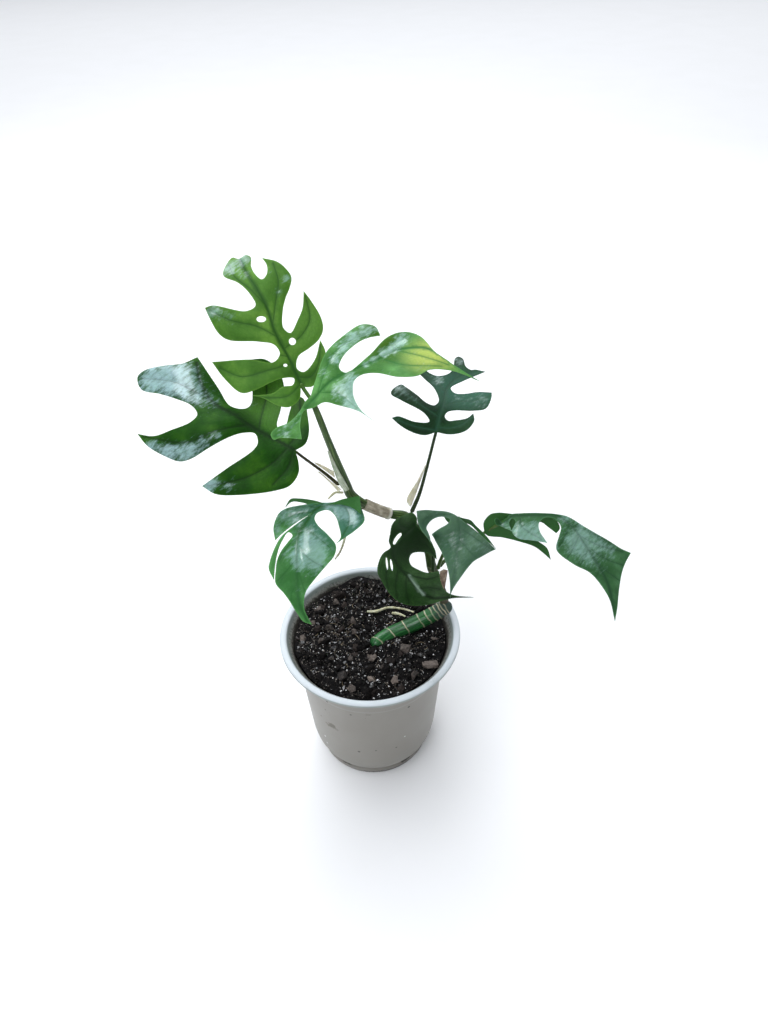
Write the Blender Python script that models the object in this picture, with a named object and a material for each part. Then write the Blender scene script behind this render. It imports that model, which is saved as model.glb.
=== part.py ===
import math

import bmesh
import bpy
import numpy as np
from mathutils import Vector
from mathutils.geometry import delaunay_2d_cdt

# all sizes below are millimetres, one factor turns them into metres
MM = 0.001

# nursery pot: plain thin plastic, 13 cm across the lip
POT_HEIGHT = 120.0
LIP_RADIUS = 65.0
LIP_INNER_RADIUS = 60.5
LIP_DROP = 3.2
WALL_TOP_RADIUS = 56.4
STEP_HEIGHT = 96.0
WALL_LOW_RADIUS = 48.9
FOOT_RADIUS = 41.0
WALL = 1.6
FLOOR = 2.0
DRAIN_COUNT = 6
DRAIN_RADIUS = 4.0
DRAIN_RING = 27.0
POT_SIDES = 48
# outer face of the wall: a short upright foot ring, a slow taper with a faint step, a flare under the lip
WALL_LEVELS = [0.0, 5.6, 6.6, 12.0, 18.0, 26.0, STEP_HEIGHT - 1.0, STEP_HEIGHT + 1.0, 104.0, 108.0, 112.0,
               115.0, 116.5]
WALL_RADII = [FOOT_RADIUS, FOOT_RADIUS + 0.4, 42.6, 44.8, 47.0, WALL_LOW_RADIUS, 53.6, 54.2,
              WALL_TOP_RADIUS - 1.4, WALL_TOP_RADIUS - 0.5, WALL_TOP_RADIUS + 1.0, WALL_TOP_RADIUS + 2.5,
              WALL_TOP_RADIUS + 4.0]

# potting mix: about 8 mm under the lip, a little higher at the back
SOIL_TOP = 112.4
SOIL_TILT = 0.02
SOIL_GAP = 0.6
SOIL_RINGS = 8
SOIL_SIDES = 36
SOIL_SEED = 7

# blades and the gap between neighbouring pieces
BLADE = 0.8
SEAT = 0.3
EDGE_STEP = 4.0
GRID_STEP = 8.5

# the leaf outlines are drawn on a board tilted like the viewer's line of sight
BOARD_TILT = math.radians(40.7)
BOARD_UP = np.array([0.0, math.sin(BOARD_TILT), math.cos(BOARD_TILT)])
BOARD_OUT = np.array([0.0, -math.cos(BOARD_TILT), math.sin(BOARD_TILT)])
BOARD_RIGHT = np.array([1.0, 0.0, 0.0])

# colours, one per material that reads apart
GREEN_MID = (0.045, 0.155, 0.030, 1.0)
GREEN_DARK = (0.018, 0.080, 0.030, 1.0)
GREEN_BLUE = (0.050, 0.160, 0.090, 1.0)
GREEN_STEM = (0.020, 0.120, 0.040, 1.0)
GREEN_OLIVE = (0.045, 0.075, 0.020, 1.0)
GREEN_PALE = (0.20, 0.27, 0.16, 1.0)
CREAM = (0.60, 0.59, 0.44, 1.0)
TAN = (0.42, 0.34, 0.22, 1.0)
ROOT = (0.52, 0.50, 0.36, 1.0)
POT_WHITE = (0.74, 0.77, 0.78, 1.0)
SOIL_DARK = (0.020, 0.017, 0.017, 1.0)


def clear_scene():
    for obj in list(bpy.data.objects):
        bpy.data.objects.remove(obj, do_unlink=True)


def material(name, colour, roughness):
    mat = bpy.data.materials.new(name)
    mat.use_nodes = True
    shader = mat.node_tree.nodes["Principled BSDF"]
    shader.inputs["Base Color"].default_value = colour
    shader.inputs["Roughness"].default_value = roughness
    mat.diffuse_color = colour
    return mat


def solid(name, verts, faces):
    mesh = bpy.data.meshes.new(name)
    mesh.from_pydata([tuple(v * MM for v in p) for p in verts], [], faces)
    mesh.update()
    obj = bpy.data.objects.new(name, mesh)
    bpy.context.collection.objects.link(obj)
    bm = bmesh.new()
    bm.from_mesh(mesh)
    bmesh.ops.recalc_face_normals(bm, faces=bm.faces)
    bm.to_mesh(mesh)
    bm.free()
    return obj


def boolean(obj, others, kind):
    for other in others:
        mod = obj.modifiers.new("cut", "BOOLEAN")
        mod.operation = kind
        mod.solver = "EXACT"
        mod.object = other
    bpy.context.view_layer.update()
    graph = bpy.context.evaluated_depsgraph_get()
    mesh = bpy.data.meshes.new_from_object(obj.evaluated_get(graph))
    obj.modifiers.clear()
    old = obj.data
    obj.data = mesh
    bpy.data.meshes.remove(old)
    for other in others:
        bpy.data.objects.remove(other, do_unlink=True)
    return obj


def finish(obj, name, mat):
    obj.name = name
    obj.data.name = name
    obj.data.shade_smooth()
    obj.data.set_sharp_from_angle(angle=math.radians(38.0))
    obj.data.materials.clear()
    obj.data.materials.append(mat)
    for poly in obj.data.polygons:
        poly.material_index = 0
    return obj


# smooth curves

def catmull(p0, p1, p2, p3, steps):
    # centripetal spacing keeps tight turns free of loops
    k0 = 0.0
    k1 = k0 + max(np.linalg.norm(p1 - p0), 1e-6) ** 0.5
    k2 = k1 + max(np.linalg.norm(p2 - p1), 1e-6) ** 0.5
    k3 = k2 + max(np.linalg.norm(p3 - p2), 1e-6) ** 0.5
    out = []
    for i in range(steps):
        k = k1 + (k2 - k1) * i / steps
        a1 = (k1 - k) / (k1 - k0) * p0 + (k - k0) / (k1 - k0) * p1
        a2 = (k2 - k) / (k2 - k1) * p1 + (k - k1) / (k2 - k1) * p2
        a3 = (k3 - k) / (k3 - k2) * p2 + (k - k2) / (k3 - k2) * p3
        b1 = (k2 - k) / (k2 - k0) * a1 + (k - k0) / (k2 - k0) * a2
        b2 = (k3 - k) / (k3 - k1) * a2 + (k - k1) / (k3 - k1) * a3
        out.append((k2 - k) / (k2 - k1) * b1 + (k - k1) / (k2 - k1) * b2)
    return out


def smooth_run(points, step):
    # an open run, its two ends kept sharp
    pts = [np.array(p, float) for p in points]
    ends = [2 * pts[0] - pts[1]] + pts + [2 * pts[-1] - pts[-2]]
    out = []
    for i in range(1, len(ends) - 2):
        length = np.linalg.norm(ends[i + 1] - ends[i])
        steps = max(1, int(round(length / step)))
        out.extend(catmull(ends[i - 1], ends[i], ends[i + 1], ends[i + 2], steps))
    out.append(pts[-1])
    return out


def closed_outline(points, step):
    # a third number on a point marks a sharp corner
    first = next(i for i, p in enumerate(points) if len(p) > 2)
    turned = points[first:] + points[:first] + [points[first]]
    out = []
    run = [turned[0][:2]]
    for p in turned[1:]:
        run.append(p[:2])
        if len(p) > 2:
            out.extend(smooth_run(run, step)[:-1])
            run = [p[:2]]
    return out


def oval(cx, cy, rx, ry, turn, count):
    out = []
    for i in range(count):
        a = 2 * math.pi * i / count
        x = rx * math.cos(a)
        y = ry * math.sin(a)
        px = cx + x * math.cos(turn) - y * math.sin(turn)
        py = cy + x * math.sin(turn) + y * math.cos(turn)
        out.append(np.array([px, py]))
    return out


# bent blades

def height_field(knots):
    # thin plate through a few heights gives the blade its natural bend
    c = np.array(knots, float)
    n = len(c)
    r = np.hypot(c[:, None, 0] - c[None, :, 0], c[:, None, 1] - c[None, :, 1])
    kernel = r * r * np.log(np.maximum(r, 1e-9))
    plane = np.c_[np.ones(n), c[:, :2]]
    system = np.zeros((n + 3, n + 3))
    system[:n, :n] = kernel
    system[:n, n:] = plane
    system[n:, :n] = plane.T
    weights = np.linalg.solve(system, np.r_[c[:, 2], 0, 0, 0])

    def height(x, y):
        d = np.hypot(c[:, 0] - x, c[:, 1] - y)
        bend = np.dot(d * d * np.log(np.maximum(d, 1e-9)), weights[:n])
        return float(bend + weights[n] + weights[n + 1] * x + weights[n + 2] * y)

    return height


def on_board(seat, x, y, out):
    return np.array(seat, float) + x * BOARD_RIGHT + y * BOARD_UP + out * BOARD_OUT


def blade_normal(height, x, y):
    d = 0.5
    sx = (height(x + d, y) - height(x - d, y)) / (2 * d)
    sy = (height(x, y + d) - height(x, y - d)) / (2 * d)
    n = BOARD_OUT - sx * BOARD_RIGHT - sy * BOARD_UP
    return n / np.linalg.norm(n)


def inside(poly, x, y):
    hit = False
    j = len(poly) - 1
    for i in range(len(poly)):
        xi, yi = poly[i]
        xj, yj = poly[j]
        if (yi > y) != (yj > y) and x < (xj - xi) * (y - yi) / (yj - yi) + xi:
            hit = not hit
        j = i
    return hit


def clearance(loops, x, y):
    best = 1e9
    for loop in loops:
        pts = np.array(loop)
        nxt = np.roll(pts, -1, axis=0)
        seg = nxt - pts
        t = ((x - pts[:, 0]) * seg[:, 0] + (y - pts[:, 1]) * seg[:, 1]) / (seg ** 2).sum(axis=1)
        t = np.clip(t, 0, 1)
        near = pts + seg * t[:, None]
        best = min(best, np.hypot(near[:, 0] - x, near[:, 1] - y).min())
    return best


def flat_triangles(outline, holes, grid):
    loops = [outline] + holes
    verts = []
    edges = []
    for loop in loops:
        base = len(verts)
        verts.extend(Vector((p[0], p[1])) for p in loop)
        edges.extend((base + i, base + (i + 1) % len(loop)) for i in range(len(loop)))
    rim = len(verts)
    box = np.array(outline)
    row = 0
    y = box[:, 1].min()
    while y < box[:, 1].max():
        x = box[:, 0].min() + (grid / 2 if row % 2 else 0)
        while x < box[:, 0].max():
            if inside(outline, x, y) and not any(inside(h, x, y) for h in holes):
                if clearance(loops, x, y) > grid * 0.42:
                    verts.append(Vector((x, y)))
            x += grid
        y += grid * 0.866
        row += 1
    result = delaunay_2d_cdt(verts, edges, [], 0, 1e-5)
    pts = [np.array(v) for v in result[0]]
    tris = []
    for tri in result[2]:
        cx, cy = sum(pts[i] for i in tri) / 3
        if inside(outline, cx, cy) and not any(inside(h, cx, cy) for h in holes):
            tris.append(tuple(tri))
    return pts, tris, rim


def sheet(name, seat, outline, holes, knots):
    height = height_field(knots)
    edge = closed_outline(outline, EDGE_STEP)
    loops = [oval(*h, 10) for h in holes]
    pts, tris, _ = flat_triangles(edge, loops, GRID_STEP)
    top = []
    low = []
    for p in pts:
        middle = on_board(seat, p[0], p[1], height(p[0], p[1]))
        n = blade_normal(height, p[0], p[1])
        top.append(middle + n * BLADE / 2)
        low.append(middle - n * BLADE / 2)
    count = len(pts)
    faces = [t for t in tris] + [tuple(count + i for i in reversed(t)) for t in tris]
    used = {}
    for a, b, c in tris:
        for e in ((a, b), (b, c), (c, a)):
            used[e] = True
    for a, b in used:
        if (b, a) not in used:
            faces.append((a, count + a, b))
            faces.append((b, count + a, count + b))
    return solid(name, top + low, faces)


# round stems and stalks

def lengths(path):
    total = [0.0]
    for a, b in zip(path, path[1:]):
        total.append(total[-1] + float(np.linalg.norm(b - a)))
    return total


def nearest(path, point):
    gaps = [float(np.linalg.norm(np.array(point, float) - p)) for p in path]
    return gaps.index(min(gaps))


def tube(name, centres, radii, sides, step):
    path = smooth_run(centres, step)
    total = lengths(path)
    marks = np.linspace(0.0, total[-1], len(radii))
    if len(radii) == len(centres):
        marks = [total[nearest(path, c)] for c in centres]
    size = np.interp(total, marks, radii)
    verts = []
    up = np.array([0.3, 0.9, 0.2])
    for i, p in enumerate(path):
        a = path[max(i - 1, 0)]
        b = path[min(i + 1, len(path) - 1)]
        along = (b - a) / np.linalg.norm(b - a)
        up = up - along * np.dot(up, along)
        up = up / np.linalg.norm(up)
        side = np.cross(along, up)
        for k in range(sides):
            t = 2 * math.pi * k / sides
            verts.append(p + size[i] * (math.cos(t) * up + math.sin(t) * side))
    faces = []
    for i in range(len(path) - 1):
        for k in range(sides):
            a = i * sides + k
            b = i * sides + (k + 1) % sides
            faces.append((a, b, b + sides, a + sides))
    faces.append(tuple(range(sides - 1, -1, -1)))
    last = (len(path) - 1) * sides
    faces.append(tuple(last + k for k in range(sides)))
    return solid(name, verts, faces)


def rib_path(seat, knots, rib, drop, part):
    height = height_field(knots)
    out = []
    for x, y in rib[:max(2, int(round(len(rib) * part)))]:
        n = blade_normal(height, x, y)
        out.append(on_board(seat, x, y, height(x, y)) - n * drop)
    return out


def leaf(name, mat, spec):
    # blade, any part folded to the far side, stalk and midrib grown into one piece
    blade = sheet(name, spec["seat"], spec["outline"], spec.get("holes", []), spec["knots"])
    parts = []
    for i, more in enumerate(spec.get("more", [])):
        parts.append(sheet(f"{name}_fold{i}", spec["seat"], more["outline"], [], more["knots"]))
    rib = rib_path(spec["seat"], spec["knots"], spec["rib"], 0.35, 0.86)
    stalk = [np.array(p, float) for p in spec["stalk"]]
    parts.append(tube(f"{name}_stalk", stalk + rib, spec["stalk_radii"], 8, 6.0))
    return finish(boolean(blade, parts, "UNION"), name, mat)


def ribbon(name, mat, rows, thick):
    # a thin dry sheath: rows of points, left to right, with the same count
    verts = []
    cols = len(rows[0])
    grid = np.array(rows, float)
    along = np.gradient(grid, axis=0)
    across = np.gradient(grid, axis=1)
    normal = np.cross(across, along)
    normal /= np.linalg.norm(normal, axis=2)[:, :, None]
    for sign in (0.5, -0.5):
        for p in (grid + normal * thick * sign).reshape(-1, 3):
            verts.append(p)
    half = len(rows) * cols
    faces = []
    for r in range(len(rows) - 1):
        for c in range(cols - 1):
            a = r * cols + c
            for tri in ((a, a + 1, a + cols), (a + 1, a + cols + 1, a + cols)):
                faces.append(tri)
                faces.append(tuple(half + i for i in reversed(tri)))
    ring = [c for c in range(cols)]
    ring += [r * cols + cols - 1 for r in range(1, len(rows))]
    ring += [(len(rows) - 1) * cols + c for c in range(cols - 2, -1, -1)]
    ring += [r * cols for r in range(len(rows) - 2, 0, -1)]
    for a, b in zip(ring, ring[1:] + ring[:1]):
        faces.append((a, half + a, b))
        faces.append((b, half + a, half + b))
    return finish(solid(name, verts, faces), name, mat)


# pot and soil

def lathe(name, profile, sides):
    verts = []
    rings = []
    for r, z in profile:
        if r < 1e-6:
            rings.append([len(verts)])
            verts.append((0.0, 0.0, z))
            continue
        ring = []
        for k in range(sides):
            a = 2 * math.pi * k / sides
            ring.append(len(verts))
            verts.append((r * math.cos(a), r * math.sin(a), z))
        rings.append(ring)
    faces = []
    for a, b in zip(rings, rings[1:]):
        for k in range(sides):
            n = (k + 1) % sides
            if len(a) == 1:
                faces.append((a[0], b[n], b[k]))
            elif len(b) == 1:
                faces.append((a[k], a[n], b[0]))
            else:
                faces.append((a[k], a[n], b[n], b[k]))
    return solid(name, verts, faces)


def wall_radius(z):
    return float(np.interp(z, WALL_LEVELS, WALL_RADII))


def inner_radius(z):
    # inside of the wall, which meets the lip's inner edge in a bevel
    bevel = float(np.interp(z, [115.0, 117.6, POT_HEIGHT - 0.9], [0.0, 0.4, 1.3]))
    return wall_radius(z) - WALL + bevel


def build_pot(mat):
    low = POT_HEIGHT - LIP_DROP
    outer = [(0.0, 0.0), (FOOT_RADIUS, 0.0)]
    for z in WALL_LEVELS[1:]:
        outer.append((wall_radius(z), z))
    outer.append((LIP_RADIUS - 1.0, low))
    outer.append((LIP_RADIUS, low + 0.9))
    outer.append((LIP_RADIUS - 0.2, POT_HEIGHT - 0.4))
    outer.append((LIP_RADIUS - 0.9, POT_HEIGHT))
    outer.append((LIP_INNER_RADIUS + 0.6, POT_HEIGHT))
    outer.append((LIP_INNER_RADIUS - 0.4, POT_HEIGHT - 0.9))
    inner = []
    for z in (117.6, 115.0, 112.0, 108.0, 104.0, STEP_HEIGHT - 3.0, 26.0, 12.0, 3.0 + FLOOR):
        inner.append((inner_radius(z), z))
    inner.append((FOOT_RADIUS - WALL, FLOOR))
    inner.append((0.0, FLOOR))
    pot = lathe("pot", outer + inner, POT_SIDES)
    drains = []
    for k in range(DRAIN_COUNT):
        a = 2 * math.pi * (k + 0.5) / DRAIN_COUNT
        x = DRAIN_RING * math.cos(a)
        y = DRAIN_RING * math.sin(a)
        drains.append(tube(f"drain{k}", [(x, y, -2.0), (x, y, FLOOR + 2.0)], [DRAIN_RADIUS] * 2, 10, 9.0))
    return finish(boolean(pot, drains, "DIFFERENCE"), "pot", mat)


def soil_waves():
    rng = np.random.default_rng(SOIL_SEED)
    waves = []
    for _ in range(9):
        angle = rng.uniform(0, 2 * math.pi)
        pitch = rng.uniform(0.10, 0.38)
        phase = rng.uniform(0, 6.28)
        size = rng.uniform(0.15, 0.4)
        waves.append((pitch * math.cos(angle), pitch * math.sin(angle), phase, size))
    return waves


def soil_height(x, y, waves):
    # gentle lumps on a slight slope, with a clump against the back wall
    lumps = sum(size * math.sin(fx * x + fy * y + phase) for fx, fy, phase, size in waves)
    clump = 4.6 * math.exp(-((x + 6.0) ** 2 + (y - 50.0) ** 2) / 150.0)
    return SOIL_TOP + SOIL_TILT * y + lumps + clump


def soil_ring(radius, turn):
    out = []
    for k in range(SOIL_SIDES):
        a = 2 * math.pi * (k + turn) / SOIL_SIDES
        out.append((radius * math.cos(a), radius * math.sin(a)))
    return out


def build_soil(mat, plugs):
    waves = soil_waves()
    verts = [(0.0, 0.0, soil_height(0.0, 0.0, waves))]
    rings = []
    for i in range(1, SOIL_RINGS + 1):
        reach = inner_radius(108.0) - SOIL_GAP
        ring = []
        for x, y in soil_ring(reach * i / SOIL_RINGS, 0.5 * (i % 2)):
            z = soil_height(x, y, waves)
            if i == SOIL_RINGS:
                grow = (inner_radius(z - 2.0) - SOIL_GAP) / reach
                x, y = x * grow, y * grow
            ring.append(len(verts))
            verts.append((x, y, z))
        rings.append(ring)
    turn = 0.5 * (SOIL_RINGS % 2)
    for z in (108.0, 104.0, STEP_HEIGHT - 3.0, 26.0, 12.0, FLOOR + 3.4):
        ring = []
        for x, y in soil_ring(inner_radius(z) - SOIL_GAP, turn):
            ring.append(len(verts))
            verts.append((x, y, z))
        rings.append(ring)
    bottom = []
    for x, y in soil_ring(FOOT_RADIUS - WALL - SOIL_GAP - 0.3, turn):
        bottom.append(len(verts))
        verts.append((x, y, FLOOR + SOIL_GAP))
    rings.append(bottom)
    centre = len(verts)
    verts.append((0.0, 0.0, FLOOR + SOIL_GAP))
    faces = []
    for k in range(SOIL_SIDES):
        n = (k + 1) % SOIL_SIDES
        faces.append((0, rings[0][k], rings[0][n]))
        faces.append((centre, bottom[n], bottom[k]))
    for level, (a, b) in enumerate(zip(rings, rings[1:])):
        for k in range(SOIL_SIDES):
            n = (k + 1) % SOIL_SIDES
            if level > SOIL_RINGS - 1:
                faces.append((a[k], a[n], b[n], b[k]))
            elif level == SOIL_RINGS - 1 or level % 2 == 1:
                faces.append((a[k], b[k], a[n]))
                faces.append((a[n], b[k], b[n]))
            else:
                faces.append((a[k], b[k], b[n]))
                faces.append((a[k], b[n], a[n]))
    soil = solid("soil", verts, faces)
    return finish(boolean(soil, plugs, "DIFFERENCE"), "soil", mat)


# stems: the old cane lies on the soil, the vine climbs from its right end
CANE_PATH = [(0.5, -6.8, 109.8), (14.0, 2.6, 111.2), (33.0, 8.0, 117.0), (47.0, 10.5, 124.0),
             (55.0, 12.0, 129.0), (59.5, 12.6, 131.6)]
CANE_RADII = [4.6, 5.4, 5.5, 5.5, 5.5, 5.6, 5.6, 5.5, 5.4, 4.7]
VINE_PATH = [(54.6, 13.0, 130.0), (53.4, 15.6, 138.5), (49.6, 19.5, 148.0), (45.4, 22.2, 160.0),
             (42.6, 23.0, 175.0), (35.5, 21.0, 195.0), (26.0, 18.0, 212.0), (16.0, 15.0, 217.5),
             (6.5, 13.0, 224.0), (-2.0, 12.0, 230.5), (-8.5, 12.9, 236.5), (-10.8, 13.6, 244.0),
             (-15.1, 15.0, 258.5), (-20.9, 17.0, 278.0), (-24.6, 18.8, 291.0), (-26.6, 19.8, 297.8)]
# radius at each point of the path above, thicker at the joints
VINE_RADII = [3.3, 3.2, 3.2, 3.6, 3.0, 2.9, 3.6, 2.8, 2.7, 2.8, 3.3, 2.9, 2.4, 2.1, 2.0, 1.9]

# a third number marks a sharp tip or corner of the leaf edge
LEAF_A = {
    "seat": (-37, 46, 294),
    "outline": [
        (0, 2, 1), (-1, -6), (-7, -11), (-14, -10), (-23, -5), (-30, -3, 1), (-17, -2), (-11, 2), (-5, 3),
        (-4, 7), (-12, 7), (-29, 0), (-37, -1), (-48, 9), (-55, 19, 1), (-31, 19), (-16, 17), (-12, 22),
        (-15, 27), (-24, 29), (-43, 31), (-49, 35), (-55, 46), (-57, 51, 1), (-52, 52), (-31, 47), (-25, 50),
        (-29, 58), (-36, 65), (-45, 70), (-45, 74), (-40, 82), (-36, 81), (-31, 83), (-28, 81), (-28, 76),
        (-26, 71), (-21, 66), (-18, 69), (-18, 75), (-21, 80, 1), (-12, 77), (-7, 73), (-3, 67), (-4, 61),
        (-7, 54), (-9, 46), (-9, 37), (-5, 34), (0, 42), (3, 49), (4, 59, 1), (9, 52), (14, 43), (15, 36),
        (12, 30), (6, 25), (-1, 20), (-2, 13), (2, 11), (9, 18), (13, 30, 1), (16, 22), (13, 10), (7, 2)],
    "holes": [(-22, 42, 2.9, 1.7, 0.0), (-4, 29, 2.1, 2.1, 0.0), (-9, 15, 1.2, 0.9, 0.0)],
    "rib": [(0, 4), (-7, 20), (-14, 34), (-18, 48), (-24, 60), (-30, 70), (-35, 80)],
    "knots": [(0, 0, 0), (-16, 32, 7), (-28, 55, 11), (-36, 77, 4), (-52, 14, -2), (-60, 50, 4),
              (-46, 68, 6), (10, 28, 3), (0, 52, 8), (-8, 72, 10), (-28, -6, 2), (-7, -11, 4)],
    "stalk": [(-28.5, 23.5, 300.5), (-32, 33, 299)],
    "stalk_radii": [1.2, 1.2, 1.2, 1.1, 1.0, 0.9, 0.7],
}
LEAF_B = {
    "seat": (-40, 10, 274),
    "outline": [
        (0, 0, 1), (2, -7), (2, -14), (-3, -21), (-12, -24), (-34, -26), (-48, -25), (-56, -20, 1), (-40, -10),
        (-25, 0), (-22, 5), (-24, 11), (-30, 11), (-36, 9), (-50, 2), (-62, -4), (-69, -5), (-77, -2),
        (-89, 5), (-96, 13, 1), (-85, 11), (-73, 14), (-61, 18), (-57, 22), (-58, 25), (-62, 29), (-71, 33),
        (-82, 37), (-95, 41), (-98, 49), (-94, 53), (-83, 55), (-68, 56), (-60, 60, 1), (-56, 54), (-47, 40),
        (-40, 29), (-35, 27), (-31, 28), (-29, 32), (-29, 42), (-31, 61, 1), (-22, 62), (-15, 57), (-10, 46),
        (-11, 28), (-12, 17), (-10, 13), (-7, 15), (-5, 26), (-2, 36), (3, 35), (7, 21), (8, 11), (6, 4)],
    "rib": [(0, 0), (-12, 7), (-26, 15), (-37, 23), (-46, 28), (-52, 34), (-57, 43), (-60, 56)],
    "knots": [(0, 0, 0), (-35, 20, 2), (-58, 52, -8), (-94, 44, -12), (-94, 10, -4), (-55, -20, 2),
              (-26, 30, -22), (-26, 55, -30), (8, 20, -12), (-10, -24, 4), (2, 32, -23)],
    "stalk": [(-15.2, 12.6, 244.3), (-23.5, 12.2, 254.3), (-35.9, 11.0, 268.1)],
    "stalk_radii": [1.2, 0.95, 0.85, 0.85, 0.85, 0.85, 0.8, 0.7],
}
LEAF_C = {
    "seat": (-27, 20, 301),
    "outline": [
        (-2, 4, 1), (1, 14), (7, 31), (18, 43), (29, 51), (37, 50), (40, 44, 1), (33, 42), (26, 38), (17, 28),
        (15, 21), (19, 18), (32, 29), (44, 43), (52, 47), (59, 47), (66, 43), (73, 32), (80, 25), (90, 17),
        (98, 11, 1), (90, 15), (82, 18), (69, 19), (61, 15), (50, 15), (38, 18), (29, 17), (24, 13), (23, 6),
        (24, 1), (28, -6), (36, -13, 1), (26, -6), (14, -2), (6, 0), (0, -3), (-6, -5), (-8, -13),
        (-7, -22, 1), (-20, -21), (-23, -22), (-25, -19), (-22, -15), (-15, -12), (-9, -6), (-5, 1)],
    "rib": [(-1, 1), (9, 12), (20, 18), (38, 27), (50, 34), (67, 35), (82, 24), (96, 12)],
    "knots": [(0, 0, 0), (8, 28, -8), (20, 16, -4), (28, 45, -20), (46, 26, -16), (60, 38, -26), (97, 13, -6),
              (56, 16, -6), (36, -12, 4), (-27, -22, 8), (-10, -20, 7), (75, 30, -16)],
    "stalk": [(-26.5, 19.4, 298.9)],
    "stalk_radii": [1.5, 1.3, 1.2, 1.1, 1.0, 0.8],
}
LEAF_D = {
    "seat": (47, 40, 264),
    "outline": [
        (0, 0, 1), (-7, -2), (-15, 0), (-23, 5), (-28, 10, 1), (-24, 11), (-13, 7), (-4, 7), (-7, 13),
        (-21, 22), (-28, 27), (-27, 30), (-21, 34), (-18, 32), (-11, 26), (-5, 20), (0, 18), (3, 21),
        (1, 31), (-6, 40), (-11, 48), (-6, 51), (-3, 45), (4, 41), (12, 43), (16, 48), (18, 56), (21, 58),
        (24, 56), (25, 50), (28, 47), (32, 47), (38, 45, 1), (31, 42), (21, 37), (12, 31), (14, 27),
        (20, 26), (29, 27), (38, 26, 1), (37, 22), (32, 14), (24, 13), (13, 14), (8, 13), (6, 10),
        (8, 7), (13, 7), (20, 8), (24, 11, 1), (24, 6), (19, 0), (13, -2), (7, -2)],
    "rib": [(0, 1), (3, 11), (6, 20), (9, 30), (16, 38), (26, 43), (36, 45)],
    "knots": [(0, 0, 0), (2, 18, -8), (8, 32, -22), (30, 38, -34), (14, 48, -40), (-28, 8, -2),
              (-24, 28, -14), (24, 12, 0), (34, 24, -10), (-8, 38, -26)],
    "stalk": [(30.3, 20.4, 212.7), (36, 26, 224.5), (42, 34, 244.5), (45.6, 39, 258)],
    "stalk_radii": [1.5, 1.1, 1.0, 1.0, 1.0, 0.9, 0.7],
}
LEAF_E = {
    "seat": (-4, 9, 236),
    "outline": [
        (1, 0, 1), (2, -5), (4, -14), (-2, -20), (-8, -24), (-14, -28, 1), (-11, -24), (-12, -17), (-14, -11),
        (-18, -7), (-22, -7), (-26, -9), (-27, -12), (-25, -16), (-19, -22), (-14, -29), (-15, -35),
        (-20, -41), (-28, -50), (-33, -57), (-34, -67), (-30, -77, 1), (-35, -75), (-38, -71), (-43, -63),
        (-47, -58), (-53, -52), (-53, -44), (-52, -38), (-49, -32), (-44, -26), (-41, -22), (-44, -20),
        (-48, -25), (-51, -31), (-53.2, -39), (-54, -44), (-54.3, -50, 1), (-58, -43), (-57, -38),
        (-53, -29), (-48.5, -22.5), (-40, -16), (-29, -8.5, 1), (-40, -15), (-49, -21.5), (-53, -25, 1),
        (-54, -17), (-50, -8), (-45, -5), (-34, -3), (-25, -2), (-17, -2), (-10, -1)],
    "rib": [(0, -1), (-11, -2), (-18, -3.5), (-26, -6), (-32, -14), (-37, -23), (-38, -35), (-38, -49),
            (-37, -63), (-32, -76)],
    "knots": [(0, 0, 0), (-28, -6, 4), (-45, -8, 2), (-50, -22, 0), (-54, -42, -2), (-37, -36, 12),
              (-36, -60, 14), (-29, -78, 12), (-18, -32, 10), (3, -14, 4), (-14, -28, 8), (-26, -44, 10),
              (-47, -52, 6)],
    "more": [
        {"outline": [(-22, -2.2, 1), (-27, -0.6), (-38, 1.2), (-44, 1), (-47, -4, 1), (-43, -0.8), (-35, -1.6),
                     (-28, -3.6)],
         "knots": [(-22, -2, 3), (-30, -2, 1), (-38, 0, -6), (-47, -3, -11), (-38, 2, -9)]},
        {"outline": [(-18, -3.2, 1), (-10, -0.4), (-4, 0.8), (1.2, 1.4, 1), (2, -4), (2, -10, 1), (-3, -6),
                     (-9, -3.8)],
         "knots": [(-18, -3, 3.0), (-9, -2, 4.6), (0, 0, 3.7), (2, -10, 8), (-3, -6, 6)]}],
    "stalk": [(-3.8, 7.4, 236.7)],
    "stalk_radii": [1.1, 1.1, 1.1, 1.0, 1.0, 0.8, 0.7],
}
LEAF_F = {
    "seat": (32, -2, 222),
    "outline": [
        (1, 0, 1), (10, -11), (13, -17), (14, -23, 1), (9, -19), (4, -17.5), (-2, -18), (-4, -21), (-3, -26),
        (1, -29), (8, -32), (16, -31.5, 1), (17, -38), (20, -45), (26, -49), (40, -51, 1), (24, -51.6),
        (7, -56), (-3, -56), (-11, -53), (-17, -47), (-22, -38), (-25, -31), (-24, -24), (-21, -18),
        (-16, -14), (-17, -10), (-16, -5), (-15, 0), (-12, 4), (-6, 7), (-2, 8.2), (1, 5)],
    "holes": [(-11.6, -8.4, 1.5, 4.4, -0.6), (-18.6, -25, 0.7, 4.4, 0.06), (-15.6, -26, 0.8, 4.2, 0.12)],
    "rib": [(0, 0), (-9, -8), (-14, -17), (-12, -25), (-5, -34), (2, -43), (10, -49.5), (24, -50.6), (38, -51)],
    "knots": [(0, 0, 0), (-13, -17, -8), (12, -22, -14), (-10, -8, -2), (-3, -34, -20), (9, -46, -30),
              (22, -46, -36), (38, -50, -38), (16, -32, -26), (-21, -28, -22), (-12, -44, -32), (6, -51, -38),
              (-15, 2, -4), (0, 8, -1), (8, -10, -6)],
    "stalk": [(45.9, 17.2, 161.0), (45.6, 13.8, 174.0), (43.0, 8.0, 196.0), (36.5, 2, 211.5)],
    "stalk_radii": [1.4, 1.2, 1.1, 1.0, 1.0, 1.0, 1.0, 0.9, 0.8, 0.7],
}
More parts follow.
